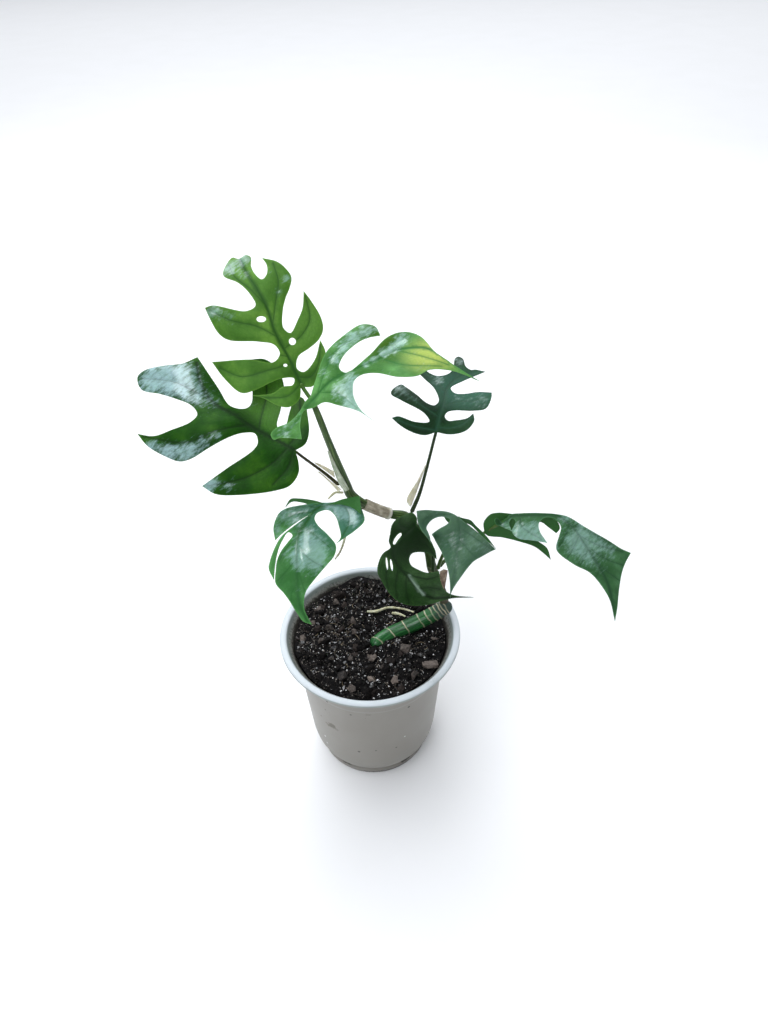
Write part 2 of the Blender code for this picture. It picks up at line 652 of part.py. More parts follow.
LEAF_G = {
    "seat": (33, 2, 228),
    "outline": [
        (0, 2, 1), (6, 2.4), (12, 1.8), (19, 1), (24, -1), (29, -5), (34, -9), (41, -15), (50, -24, 1),
        (47, -25), (40, -28), (34, -31), (25, -41), (20, -49), (19, -54, 1), (19, -42), (18, -34), (15, -24),
        (9, -13, 1), (14, -10), (20, -6.4), (21, -4), (16, -2.2), (10, -4), (6, -9), (7, -12), (9, -19, 1),
        (5.4, -14), (2.4, -10), (0.6, -5)],
    "rib": [(26.6, -3.4), (27.2, -9), (27, -16), (24.6, -26), (22, -38), (19.6, -52)],
    "knots": [(0, 0, 0), (9, -19, -6), (10, -10, -3), (20, 1, -2), (28, -3, 0), (9, -14, 4), (52, -24, -6),
              (22, -50, 10), (30, -28, 6), (20, -34, 8), (40, -34, 4)],
    "more": [
        {"outline": [(24, -2, 1), (30, -3.6), (35, -5), (39, -9), (44, -14), (51, -24, 1), (42, -15),
                     (35, -8.2), (30, -6.6), (26, -7.6), (21, -6.4), (18, -3), (17, 0, 1)],
         "knots": [(17, 0, -2.4), (24, -2, -1.6), (29, -4.4, -2), (36, -5, -9), (50, -21, -9), (54, -25, -8),
                   (21, -6, -7), (40, -12, -13)]}],
    "stalk": [(49.5, 19.0, 161.4), (50.2, 17.2, 169.0), (55.0, 13.6, 191.0), (59, 7, 212)],
    "stalk_radii": [1.4, 1.2, 1.1, 1.0, 1.0, 1.0, 0.8, 0.7],
}
LEAF_H = {
    "seat": (91, 20, 201),
    "outline": [
        (1, 1, 1), (-3, 4.6), (-5, 3), (-4, 0), (-1, -1), (6, -4.6, 1), (5, 1), (7, 4), (9, 2), (6, -5),
        (9, -9), (20, -11), (28, -12.6, 1), (24, -5), (24, 0), (28, 3.6), (34, 3.4), (38, 0), (39, -3),
        (37, -8), (34, -17), (45, -27), (56, -33), (63, -41), (69, -52), (71, -65, 1), (74, -56), (77, -44),
        (82, -32), (90, -22, 1), (83, -19), (75, -14), (56, -3), (45, 4), (37, 6), (26, 7), (14, 7.2),
        (6, 6.4)],
    "rib": [(1, 1.8), (6, 5), (15, 5.6), (26, 5.4), (37, 4.8), (47, -3), (55, -15), (63, -29), (69, -43),
            (71, -62)],
    "knots": [(0, 0, 0), (6, 5, 2), (-6, 0, 5), (7, -5, 8), (14, -10, 10), (31, -12, 12), (24, 8, 2),
              (38, 7, 0), (38, -15, 10), (56, -4, 0), (83, -20, -8), (76, -64, 10), (60, -26, 6),
              (68, -42, 8), (48, -6, 4)],
    "more": [
        {"outline": [(-11, -2), (-11, 2), (-7, 7), (-2, 8), (4, 7.4), (10, 6.6), (20, 6.4), (30, 5), (38, 1),
                     (40, -4), (38, -7, 1), (33, -3), (27, 1), (20, -1), (20, -7), (26, -12), (32, -17),
                     (34, -25, 1), (29, -20), (24, -16), (13, -12), (2, -9), (-9, -7)],
         "knots": [(0, 6, 0), (12, 6, 1.6), (26, 6, 1.4), (-11, 0, -6), (-8, -6, -8), (12, -10, -10),
                   (30, -14, -9), (34, -24, -6), (26, 1, -3), (38, -4, -4)]}],
    "stalk": [(50.35, 23.3, 158.7), (54.8, 24.4, 164.2), (65, 25, 172.5), (81, 24, 190.5)],
    "stalk_radii": [1.4, 1.2, 1.1, 1.1, 1.1, 1.0, 1.0, 0.9, 0.8, 0.7],
}


def build_stems(mat_cane, mat_vine):
    cane = tube("old_cane", CANE_PATH, CANE_RADII, 14, 4.5)
    socket = tube("socket", VINE_PATH[:3], [VINE_RADII[0] + SEAT + 0.12] * 2, 12, 6.0)
    for vert in socket.data.vertices:
        vert.co.z -= 0.6 * MM
    cane = finish(boolean(cane, [socket], "DIFFERENCE"), "old_cane", mat_cane)
    vine = finish(tube("vine", VINE_PATH, VINE_RADII, 12, 6.0), "vine", mat_vine)
    return cane, vine


def cane_plug():
    # the groove in the mix starts a little beyond the cane's end
    radii = [r + SEAT for r in CANE_RADII]
    end = np.array(CANE_PATH[0])
    along = np.array(CANE_PATH[1]) - end
    start = end - along / np.linalg.norm(along) * 1.2
    return tube("plug", [tuple(start)] + CANE_PATH[1:4], radii, 14, 4.5)


def build_leaves(mats):
    leaf("leaf_a", mats["mid"], LEAF_A)
    leaf("leaf_b", mats["mid"], LEAF_B)
    leaf("leaf_c", mats["blue"], LEAF_C)
    leaf("leaf_d", mats["dark"], LEAF_D)
    leaf("leaf_e", mats["blue"], LEAF_E)
    leaf("leaf_f", mats["dark"], LEAF_F)
    leaf("leaf_g", mats["blue"], LEAF_G)
    leaf("leaf_h", mats["blue"], LEAF_H)


def sleeve(name, mat, path, inner, outer):
    # a split dry skin that still wraps the vine
    shell = tube(name, path[1:-1], [outer] * 2, 14, 6.0)
    bore = tube("bore", path, [inner] * 2, 14, 6.0)
    return finish(boolean(shell, [bore], "DIFFERENCE"), name, mat)


def build_sheaths(mat_cream, mat_green, mat_tan):
    # the cream wing left of the back leaf's stalk
    ribbon("wing_d", mat_cream, [
        [(39.8, 31.6, 243.6), (40.5, 32.2, 243.8)],
        [(35.0, 28.0, 234.5), (37.2, 29.4, 233.8)],
        [(27.6, 23.6, 221.2), (31.9, 23.8, 220.4)],
        [(29.6, 20.9, 218.0), (30.2, 21.2, 217.9)]], 0.6)
    # two pale wings along the left leaf's stalk
    ribbon("wing_b_upper", mat_cream, [
        [(-29.6, 12.4, 263.2), (-29.0, 12.4, 262.1)],
        [(-24.4, 13.2, 259.8), (-24.4, 12.8, 257.2)],
        [(-18.2, 14.0, 254.6), (-17.6, 13.4, 249.8)]], 0.6)
    ribbon("wing_b_lower", mat_cream, [
        [(-27.7, 10.8, 256.5), (-27.0, 10.9, 256.8)],
        [(-24.9, 10.7, 253.5), (-24.1, 11.0, 253.7)],
        [(-20.5, 10.5, 247.6), (-19.7, 11.1, 248.4)],
        [(-17.6, 10.2, 243.4), (-16.0, 10.9, 244.8)],
        [(-15.8, 9.9, 241.4), (-14.1, 10.1, 242.8)]], 0.6)
    # grey green sheath hugging the left side of the upright shoot
    ribbon("shoot_sheath", mat_green, [
        [(-21.0, 14.6, 269.6), (-19.8, 13.2, 270.4)],
        [(-19.0, 13.4, 259.6), (-16.5, 12.0, 260.4)],
        [(-17.0, 11.8, 252.4), (-13.4, 10.2, 253.6)],
        [(-15.2, 10.4, 247.2), (-10.8, 9.2, 248.0)],
        [(-11.9, 8.4, 242.4), (-9.0, 8.2, 244.2)]], 0.6)
    # papery brown bract at the joint low on the vine
    ribbon("bract", mat_tan, [
        [(50.8, 17.4, 160.1), (53.4, 19.8, 160.4), (56.7, 21.9, 156.7)],
        [(51.2, 17.1, 152.2), (53.6, 18.5, 150.6), (56.0, 20.5, 150.5)],
        [(52.1, 14.6, 146.5), (53.6, 15.2, 145.3), (54.7, 16.5, 145.5)]], 0.6)
    path = [p for p in smooth_run(VINE_PATH, 3.0) if -4.4 < p[0] < 18.8]
    sleeve("vine_sleeve", mat_tan, path, 3.2, 3.75)


def build_roots(mat):
    hang = [(-8.6, 13.4, 231.6), (-11.0, 15.5, 215.0), (-14.2, 15.0, 197.5), (-17.8, 13.0, 187.0),
            (-22.0, 12.0, 180.0)]
    finish(tube("root_hanging", hang, [1.0, 0.9, 0.8, 0.6], 8, 8.0), "root_hanging", mat)
    tip = [(-12.9, 12.4, 238.4), (-18.0, 11.4, 239.4), (-22.8, 8.6, 236.6)]
    finish(tube("root_tip", tip, [0.8, 0.8, 0.6], 8, 3.0), "root_tip", mat)
    waves = soil_waves()
    routes = {
        "root_soil_long": [(-2.5, 23.0), (4.5, 23.4), (13.5, 24.6), (25.0, 24.2), (33.0, 19.6)],
        "root_soil_short": [(16.0, 20.6), (21.0, 19.4), (26.4, 15.6)],
    }
    for name, route in routes.items():
        path = []
        for i, (x, y) in enumerate(route):
            lift = 1.15 + 1.6 * i / (len(route) - 1)
            path.append((x, y, soil_height(x, y, waves) + lift))
        radii = [0.9, 1.3, 1.0, 0.9, 0.9]
        finish(tube(name, path, radii, 8, 5.0), name, mat)


def main():
    clear_scene()
    mats = {
        "mid": material("leaf_green_mid", GREEN_MID, 0.35),
        "dark": material("leaf_green_dark", GREEN_DARK, 0.35),
        "blue": material("leaf_green_blue", GREEN_BLUE, 0.35),
    }
    pot_mat = material("pot_plastic", POT_WHITE, 0.5)
    soil_mat = material("potting_mix", SOIL_DARK, 0.9)
    cane_mat = material("cane_skin", GREEN_STEM, 0.4)
    vine_mat = material("vine_skin", GREEN_OLIVE, 0.45)
    cream_mat = material("dry_sheath_cream", CREAM, 0.7)
    sheath_mat = material("sheath_grey_green", GREEN_PALE, 0.6)
    tan_mat = material("dry_sheath_tan", TAN, 0.75)
    root_mat = material("aerial_root", ROOT, 0.7)
    build_pot(pot_mat)
    build_stems(cane_mat, vine_mat)
    build_soil(soil_mat, [cane_plug()])
    build_leaves(mats)
    build_sheaths(cream_mat, sheath_mat, tan_mat)
    build_roots(root_mat)


main()
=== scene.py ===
import math

import bmesh
import bpy
import numpy as np
from mathutils import Matrix, Vector, noise
from mathutils.geometry import delaunay_2d_cdt


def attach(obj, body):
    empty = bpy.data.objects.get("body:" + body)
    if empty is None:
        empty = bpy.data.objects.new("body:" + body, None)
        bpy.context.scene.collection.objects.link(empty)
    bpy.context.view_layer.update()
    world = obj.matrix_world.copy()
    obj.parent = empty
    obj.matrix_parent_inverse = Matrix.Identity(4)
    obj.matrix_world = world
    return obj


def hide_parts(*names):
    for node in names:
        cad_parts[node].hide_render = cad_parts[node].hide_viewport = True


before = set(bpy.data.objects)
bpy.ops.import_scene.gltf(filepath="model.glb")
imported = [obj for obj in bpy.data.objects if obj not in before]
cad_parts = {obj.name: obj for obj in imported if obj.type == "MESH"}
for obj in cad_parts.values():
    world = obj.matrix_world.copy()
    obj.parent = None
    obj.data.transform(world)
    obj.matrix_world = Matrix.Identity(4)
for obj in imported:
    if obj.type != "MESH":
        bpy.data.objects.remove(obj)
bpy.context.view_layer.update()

# The room: a plain pale floor under soft light. One long light overhead lays the pale sheen on the
# leaves that face up, a weak one behind fills the shadows, a small one over the viewer's shoulder
# glints in the wax, and one far back keeps the floor even.
MM = 0.001
CAMERA_PLACE = (0.0124, -0.3648, 0.5458)
CAMERA_DOWN = 40.7
CAMERA_ROLL = -1.5
CAMERA_LENS = 27.0
CAMERA_SENSOR = 36.0
FLOOR_SIDE = 14.0
SKY_COLOUR = "#f6f9ff"
FILL_COLOUR = "#f4f8ff"
WORLD_COLOUR = "#f4f7ff"
WORLD_STRENGTH = 0.29
# name, place, target, width, height, power and colour of each light
LIGHTS = [
    ("light_overhead", (-0.5, 0.15, 1.6), (-0.1, 0.05, 0.25), 3.2, 0.9, 34.0, SKY_COLOUR),
    ("light_behind", (0.3, 1.3, 0.9), (0.0, 0.0, 0.2), 1.2, 0.8, 3.0, SKY_COLOUR),
    ("window_front", (-0.45, -1.15, 1.3), (-0.05, 0.05, 0.25), 0.5, 0.5, 5.0, FILL_COLOUR),
    ("floor_wash", (0.0, 3.3, 2.8), (0.0, 3.3, 0.0), 8.0, 3.6, 135.0, SKY_COLOUR)]


def colour(text):
    # sRGB hex to the linear values that Blender works in
    out = []
    for i in (1, 3, 5):
        c = int(text[i:i + 2], 16) / 255.0
        out.append(c / 12.92 if c <= 0.04045 else ((c + 0.055) / 1.055) ** 2.4)
    return (*out, 1.0)


def add(mat, kind, inputs=None, **settings):
    # one shader node: its settings, and for each socket a value, a hex colour or another's output
    node = mat.node_tree.nodes.new(kind)
    for name, value in settings.items():
        setattr(node, name, value)
    for socket, value in (inputs or {}).items():
        if isinstance(value, bpy.types.NodeSocket):
            mat.node_tree.links.new(value, node.inputs[socket])
        else:
            node.inputs[socket].default_value = colour(value) if isinstance(value, str) else value
    return node


def new_material(name, view_colour):
    # an empty material, and the place on the object that its patterns are read at
    mat = bpy.data.materials.new(name)
    mat.use_nodes = True
    mat.node_tree.nodes.clear()
    mat.diffuse_color = colour(view_colour)
    return mat, add(mat, "ShaderNodeTexCoord").outputs["Object"]


def set_surface(mat, inputs):
    shader = add(mat, "ShaderNodeBsdfPrincipled", inputs)
    add(mat, "ShaderNodeOutputMaterial", {"Surface": shader.outputs["BSDF"]})


def clouds(mat, place, scale, detail=2.0, rough=0.5):
    return add(mat, "ShaderNodeTexNoise", {"Vector": place, "Scale": scale, "Detail": detail,
                                           "Roughness": rough}).outputs["Fac"]


def mix(mat, factor, a, b):
    # colour a where the factor is 0, colour b where it is 1
    return add(mat, "ShaderNodeMix", {"Factor": factor, "A": a, "B": b},
               data_type="RGBA").outputs["Result"]


def new_object(name, data):
    thing = bpy.data.objects.new(name, data)
    bpy.context.collection.objects.link(thing)
    return thing


camera_data = bpy.data.cameras.new("camera")
camera_data.lens = CAMERA_LENS
camera_data.sensor_width = CAMERA_SENSOR
camera = new_object("camera", camera_data)
tilt = Matrix.Rotation(math.radians(90.0 - CAMERA_DOWN), 4, "X")
roll = Matrix.Rotation(math.radians(CAMERA_ROLL), 4, "Z")
camera.matrix_world = Matrix.Translation(CAMERA_PLACE) @ tilt @ roll
bpy.context.scene.camera = camera

for name, place, target, width, height, power, tint in LIGHTS:
    data = bpy.data.lights.new(name, "AREA")
    data.shape = "RECTANGLE"
    data.size = width
    data.size_y = height
    data.energy = power
    data.color = colour(tint)[:3]
    lamp = new_object(name, data)
    lamp.location = place
    lamp.rotation_euler = (Vector(target) - Vector(place)).to_track_quat("-Z", "Y").to_euler()

world = bpy.data.worlds.new("studio")
world.use_nodes = True
background = world.node_tree.nodes["Background"]
background.inputs["Color"].default_value = colour(WORLD_COLOUR)
background.inputs["Strength"].default_value = WORLD_STRENGTH
bpy.context.scene.world = world
bpy.context.scene.view_settings.view_transform = "Standard"

half = FLOOR_SIDE / 2
corners = [(-half, -half, 0), (half, -half, 0), (half, half, 0), (-half, half, 0)]
floor_mesh = bpy.data.meshes.new("floor")
floor_mesh.from_pydata(corners, [], [(0, 1, 2, 3)])
floor = new_object("floor", floor_mesh)
# painted board: matt and even, with the faintest roller mottle
board_paint, place = new_material("board_painted_matt", "#f6f6f5")
mottle = mix(board_paint, clouds(board_paint, place, 9.0), "#f4f4f2", "#f8f8f7")
set_surface(board_paint, {"Base Color": mottle, "Roughness": 0.85})
floor_mesh.materials.append(board_paint)


# The nursery pot: thin off-white polypropylene, injection moulded, with a flat turned-out lip, a
# faint step under it and a narrowed foot with six drain holes. It has been used, so it carries
# specks and smears of wet mix.
POT_HEIGHT = 120.0
LIP_RADIUS = 65.0
POT_WALL = 1.6
POT_FLOOR = 2.0
POT_SIDES = 144
DRAIN_HOLES = 6
DRAIN_RADIUS = 4.0
DRAIN_RING = 27.0
DRILL_LOW, DRILL_HIGH = -2.0, 4.0
DRILL_SIDES = 32
WALL_LEVELS = [0.0, 0.8, 4.4, 5.2, 6.4, 8.0, 10.0, 12.0, 15.0, 18.0, 26.0, 95.0, 97.0, 104.0, 108.0,
               112.0, 115.0, 116.5]
WALL_RADII = [41.6, 42.4, 42.3, 41.7, 41.8, 42.9, 44.1, 45.2, 46.4, 47.4, 48.6, 53.5, 54.1, 55.0,
              55.9, 57.4, 58.9, 60.4]
# the heights at which the outside and, above the floor, the inside have a ring of points
OUTER_RINGS = [0.9, 2.0, 3.4, 4.3, 4.8, 5.2, 5.8, 6.4, 7.2, 8.0, 10.0, 12.0, 15.0, 18.0, 20.5, 23.0,
               26.0, 40.0, 60.0, 80.0, 94.2, 95.0, 95.6, 96.4, 97.0, 98.0, 101.0, 104.0, 106.0,
               108.0, 110.0, 112.0, 113.5, 115.0, 116.0]
INNER_RINGS = [118.4, 117.6, 116.3, 115.0, 113.5, 112.0, 110.0, 108.0, 104.0, 98.0, 93.0, 60.0,
               26.0, 12.0, 5.0]
FOOT = [(0.0, 0.0), (41.2, 0.0), (41.9, 0.3)]
LIP = [(61.0, 116.65), (63.6, 116.8), (64.4, 117.0), (64.9, 117.5), (LIP_RADIUS, 118.2),
       (64.95, 119.0), (64.8, 119.5), (64.4, 119.85), (63.8, POT_HEIGHT), (62.4, POT_HEIGHT),
       (61.3, 119.95), (60.6, 119.6), (60.1, 119.1)]
# dried splashes on the wall: place and half width in millimetres, colour, and how much of the wall
# they hide
SPLASHES = [
    ((-29.5, -42.3, 64.5), 3.3, "#55503f", 0.85), ((-32.6, -40.2, 62.6), 2.2, "#55503f", 0.7),
    ((-26.4, -44.2, 62.8), 1.9, "#6a655a", 0.5), ((-37.5, -35.6, 67.6), 1.4, "#5d584e", 0.7),
    ((-36.7, -33.6, 38.7), 0.9, "#eef1f2", 0.9), ((-35.9, -33.6, 29.2), 0.8, "#eef1f2", 0.9),
    ((23.5, -44.9, 52.6), 0.7, "#e4e6e6", 0.8), ((-30.8, -44.6, 97.2), 1.0, "#2c2a26", 0.95),
    ((2.0, -56.0, 108.3), 1.0, "#2c2a26", 0.95), ((26.3, -46.4, 91.3), 1.0, "#2c2a26", 0.9),
    ((-14.5, -51.3, 90.6), 0.8, "#4a4741", 0.8), ((-10.8, -48.6, 39.8), 1.1, "#3a3732", 0.9),
    ((1.9, -50.0, 42.7), 0.8, "#4a4741", 0.85), ((17.0, -46.8, 41.5), 0.8, "#4a4741", 0.85),
    ((-3.0, -53.4, 93.2), 1.6, "#7b776f", 0.5), ((-1.0, -53.6, 93.0), 1.2, "#7b776f", 0.45),
    ((-33.0, -40.9, 83.0), 0.8, "#5a564e", 0.7), ((38.5, -33.0, 78.0), 0.7, "#5a564e", 0.7),
    ((-52.0, 8.0, 70.0), 1.8, "#6a655a", 0.6), ((47.0, 22.0, 54.0), 1.2, "#5a564e", 0.7),
    ((-8.0, 51.5, 61.0), 2.2, "#5d584e", 0.6)]
ROUND_SPECK = 1.2
# smears of dried mix at the foot and on the lip: place, half width, half height and strength
SMEARS = [(8.0, -42.0, 0.5, 34.0, 2.6, 0.74), (-22.0, -36.0, 5.0, 8.0, 2.0, 0.68),
          (24.0, -35.0, 4.6, 9.0, 2.6, 0.72), (0.0, 42.0, 2.0, 34.0, 2.4, 0.62),
          (44.0, -46.0, 120.0, 7.0, 1.6, 0.42), (4.0, -61.5, 120.0, 3.0, 1.4, 0.3)]
# how much the inside above the mix is stained by watering, by height
STAIN_LEVELS = [112.4, 114.4, 117.2, 119.2]
STAINS = [0.78, 0.58, 0.44, 0.0]


def wall_radius(z):
    return float(np.interp(z, WALL_LEVELS, WALL_RADII))


def inner_radius(z):
    bevel = float(np.interp(z, [115.0, 117.6, 119.1], [0.0, 0.4, 1.3]))
    return wall_radius(z) - POT_WALL + bevel


def keep_values(mesh, values):
    # named values kept on the mesh's points, for its material to read
    for key, value in values.items():
        value = np.asarray(value, np.float32)
        plain = value.ndim == 1
        store = mesh.attributes.new(key, "FLOAT" if plain else "FLOAT_VECTOR", "POINT")
        store.data.foreach_set("value" if plain else "vector", value.ravel())


def new_piece(name, verts, faces, mat, nodes=(), sharp=45.0, values=None):
    # a mesh in the row frame from points in millimetres
    mesh = bpy.data.meshes.new(name)
    mesh.from_pydata((np.asarray(verts, float) * MM).tolist(), [], [tuple(f) for f in faces])
    mesh.validate()
    keep_values(mesh, values or {})
    bm = bmesh.new()
    bm.from_mesh(mesh)
    bmesh.ops.recalc_face_normals(bm, faces=bm.faces)
    bm.to_mesh(mesh)
    bm.free()
    mesh.shade_smooth()
    mesh.set_sharp_from_angle(angle=math.radians(sharp))
    mesh.materials.append(mat)
    piece = new_object(name, mesh)
    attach(piece, "root")
    for node in nodes:
        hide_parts(node)
    return piece


def band(a, b):
    # the faces between two rings of points; a ring that is one point leaves triangles
    faces = []
    for k in range(len(a)):
        n = (k + 1) % len(a)
        face = [a[k], a[n], b[n], b[k]]
        faces.append([int(v) for i, v in enumerate(face) if v not in face[:i]])
    return faces


def lathe(profile, sides):
    # rings of points round the pot's axis, one for each point of the profile
    turn = np.arange(sides) * 2 * math.pi / sides
    verts = []
    rings = []
    for r, z in profile:
        start = len(verts)
        if r < 1e-6:
            verts.append((0.0, 0.0, z))
            rings.append(np.full(sides, start))
        else:
            verts.extend(zip(r * np.cos(turn), r * np.sin(turn), np.full(sides, z)))
            rings.append(start + np.arange(sides))
    return verts, [face for a, b in zip(rings, rings[1:]) for face in band(a, b)]


def remap(mat, value, low, high, out_low=0.0, out_high=1.0, **settings):
    return add(mat, "ShaderNodeMapRange", {"Value": value, "From Min": low, "From Max": high,
                                           "To Min": out_low, "To Max": out_high},
               **settings).outputs["Result"]


def maths(mat, operation, *values, **settings):
    return add(mat, "ShaderNodeMath", dict(enumerate(values)), operation=operation,
               **settings).outputs["Value"]


def vector_maths(mat, operation, *values):
    node = add(mat, "ShaderNodeVectorMath", dict(enumerate(values)), operation=operation)
    return node.outputs["Value" if operation == "DISTANCE" else "Vector"]


def kept(mat, name, output="Fac"):
    # a value that the mesh keeps on its points
    return add(mat, "ShaderNodeAttribute", attribute_name=name).outputs[output]


def bump(mat, height, strength, distance, below=None, **settings):
    inputs = {"Height": height, "Strength": strength, "Distance": distance}
    if below:
        inputs["Normal"] = below
    return add(mat, "ShaderNodeBump", inputs, **settings).outputs["Normal"]


# polypropylene, injection moulded: a satin skin that lets some light in, with painted shade that
# greys the wall, painted light that pales the lip, and specks where wet mix has splashed and dried
plastic, place = new_material("polypropylene_moulded_offwhite", "#c4c3be")
patches = clouds(plastic, place, 28.0, 3.0)
# painted shade: the wall is coloured mid grey, darker than the plastic's off-white
tone = mix(plastic, patches, "#908d86", "#868279")
# painted shade and painted light: the rolled side of the lip is coloured grey, its flat top pale
level = add(plastic, "ShaderNodeSeparateXYZ", {"Vector": place}).outputs["Z"]
tone = mix(plastic, remap(plastic, level, 0.1140, 0.1172), tone, "#8f9894")
tone = mix(plastic, remap(plastic, level, 0.1186, 0.1195), tone, "#ccd3d6")
# the larger splashes are ragged, so their places are read through a small shift
wobble = add(plastic, "ShaderNodeTexNoise", {"Vector": place, "Scale": 620.0, "Detail": 3.0})
centred = vector_maths(plastic, "SUBTRACT", wobble.outputs["Color"], (0.5, 0.5, 0.5))
shifted = vector_maths(plastic, "MULTIPLY_ADD", centred, (0.0055, 0.0055, 0.0055), place)
for spot, reach, shade, hide in SPLASHES:
    read_at = shifted if reach > ROUND_SPECK else place
    away = vector_maths(plastic, "DISTANCE", read_at, tuple(v * MM for v in spot))
    cover = remap(plastic, away, 0.75 * reach * MM, 1.15 * reach * MM, hide, 0.0)
    tone = mix(plastic, cover, tone, shade)
# dust-fine specks all round, 0.3 to 0.6 mm wide, thicker on some parts of the wall than on others
grit = add(plastic, "ShaderNodeTexVoronoi", {"Vector": place, "Scale": 160.0}).outputs["Distance"]
allowed = remap(plastic, clouds(plastic, place, 45.0), 0.60, 0.68)
specks = maths(plastic, "MULTIPLY", remap(plastic, grit, 0.03, 0.08, 0.8, 0.0), allowed)
# the stain kept on the mesh: full where it is 1, broken into crumbs and runs where it is less
dirt = kept(plastic, "dirt")
broken = maths(plastic, "ADD", dirt, clouds(plastic, place, 520.0, 5.0, 0.7))
soiled = maths(plastic, "MAXIMUM", specks, remap(plastic, broken, 0.98, 1.22, 0.0, 0.92))
tone = mix(plastic, remap(plastic, dirt, 0.0, 1.0, 0.0, 0.35), tone, "#6c6e63")
tone = mix(plastic, soiled, tone, "#302d29")
set_surface(plastic, {"Base Color": tone,
                      "Roughness": remap(plastic, patches, 0.0, 1.0, 0.34, 0.46),
                      "Normal": bump(plastic, clouds(plastic, place, 1400.0, 1.0), 0.06, 0.0002),
                      "IOR": 1.49, "Subsurface Weight": 0.2,
                      "Subsurface Radius": (1.0, 1.0, 1.0), "Subsurface Scale": 0.0015})


def pot_dirt(points):
    amount = np.zeros(len(points))
    for x, y, z, wide, high, strength in SMEARS:
        across = np.hypot(points[:, 0] - x, points[:, 1] - y) / wide
        up = (points[:, 2] - z) / high
        amount = np.maximum(amount, strength * np.exp(-(across ** 2 + up ** 2)))
    half_wall = np.array([wall_radius(z) - 0.7 for z in points[:, 2]])
    inner = np.hypot(points[:, 0], points[:, 1]) < half_wall
    stain = np.interp(points[:, 2], STAIN_LEVELS, STAINS)
    return np.maximum(amount, np.where(inner, stain, 0.0))


profile = FOOT + [(wall_radius(z), z) for z in OUTER_RINGS] + LIP
profile += [(inner_radius(z), z) for z in INNER_RINGS] + [(39.4, POT_FLOOR), (0.0, POT_FLOOR)]
verts, faces = lathe(profile, POT_SIDES)
pot = new_piece("pot_shell", verts, faces, plastic, ["pot"])
for k in range(DRAIN_HOLES):
    angle = 2 * math.pi * (k + 0.5) / DRAIN_HOLES
    points, sides = lathe([(0.0, DRILL_LOW), (DRAIN_RADIUS, DRILL_LOW), (DRAIN_RADIUS, DRILL_HIGH),
                           (0.0, DRILL_HIGH)], DRILL_SIDES)
    drill_mesh = bpy.data.meshes.new("drill")
    shift = np.array([DRAIN_RING * math.cos(angle), DRAIN_RING * math.sin(angle), 0.0])
    drill_mesh.from_pydata(((np.array(points) + shift) * MM).tolist(), [], sides)
    drill = new_object("drill", drill_mesh)
    hole = pot.modifiers.new("hole", "BOOLEAN")
    hole.operation = "DIFFERENCE"
    hole.solver = "EXACT"
    hole.object = drill
    bpy.context.view_layer.update()
    drilled = pot.evaluated_get(bpy.context.evaluated_depsgraph_get())
    drilled_mesh = bpy.data.meshes.new_from_object(drilled)
    pot.modifiers.clear()
    pot.data = drilled_mesh
    bpy.data.objects.remove(drill)
keep_values(pot.data, {"dirt": pot_dirt(np.array([v.co for v in pot.data.vertices]) / MM)})


# The potting mix: dark composted bark and coir, lumpy and moist, with white perlite grit and chips
# of pine bark. It fills the pot to about 8 mm under the lip, with a clump against the back wall and
# the old cane let into it.
SOIL_TOP = 112.4
SOIL_TILT = 0.02
SOIL_GAP = 0.6
SOIL_SEED = 7
SOIL_WAVE_COUNT = 9
SOIL_CELL = 0.85
SOIL_SIDES = 300
# the clump against the back wall, and the mix heaped over the cane's left end: middle, spread, rise
SOIL_HEAPS = [(-6.0, 50.0, 150.0, 4.6), (-3.5, -11.5, 10.0, 0.8)]
# lumps of about 6, 3 and 1.5 mm: pitch and height
LUMPS = [(7.0, 1.5), (3.2, 1.3), (1.6, 0.7)]
# the rings of points down the hidden side of the mix, and the radius where it meets the floor
SOIL_RINGS = [108.0, 104.0, 93.0, 26.0, 12.0, 5.4, 2.6]
SOIL_FOOT = 38.5
# the lying cane and the two roots on the mix stay free of the larger grains
CANE_LINE = [(6.0, -3.0), (14.0, 2.6), (33.0, 8.0), (47.0, 10.5), (59.5, 12.6)]
CANE_CLEAR = 4.4
ROOT_LINES = {
    "root_soil_long": [(-2.5, 23.0), (4.5, 23.4), (13.5, 24.6), (25.0, 24.2), (33.0, 19.6)],
    "root_soil_short": [(16.0, 20.6), (21.0, 19.4), (26.4, 15.6)]}
ROOT_CLEAR = 0.6
# the larger bark chips that can be told apart: place, half width and tone
CHIPS = [(-0.2, -19.6, 4.3, 0.50), (0.2, -37.5, 2.5, 0.95), (17.0, -39.2, 3.4, 0.72),
         (41.0, -27.0, 4.9, 0.52), (24.9, -13.0, 4.6, 0.30), (-18.9, -36.2, 4.4, 0.02),
         (30.7, -37.0, 3.6, 0.18), (-11.9, 15.3, 3.6, 0.42), (-11.8, 3.7, 2.4, 0.35),
         (-49.0, 0.4, 2.8, 0.50), (-36.2, -4.8, 2.8, 0.35), (-14.3, -19.2, 2.4, 0.25),
         (-12.5, -45.0, 3.0, 0.30), (-26.7, 33.9, 3.2, 0.36), (-39.3, 27.2, 2.8, 0.40),
         (-27.8, -19.6, 2.2, 0.25), (47.0, -4.1, 2.6, 0.45), (-43.0, 14.4, 2.4, 0.45),
         (8.0, -28.0, 2.6, 0.12), (-30.0, 8.0, 3.0, 0.16)]
CHIP_WIDEN = 1.35
# where the mix is driest and brownest, along the left and back of the pot: middle, spread, strength
CRUST = (-38.0, 20.0, 700.0, 0.42)
COIR_REACH = 53.0


def soil_waves():
    rng = np.random.default_rng(SOIL_SEED)
    waves = []
    for _ in range(SOIL_WAVE_COUNT):
        angle = rng.uniform(0, 2 * math.pi)
        pitch = rng.uniform(0.10, 0.38)
        waves.append((pitch * math.cos(angle), pitch * math.sin(angle), rng.uniform(0, 6.28),
                      rng.uniform(0.15, 0.4)))
    return waves


SOIL_WAVES = soil_waves()


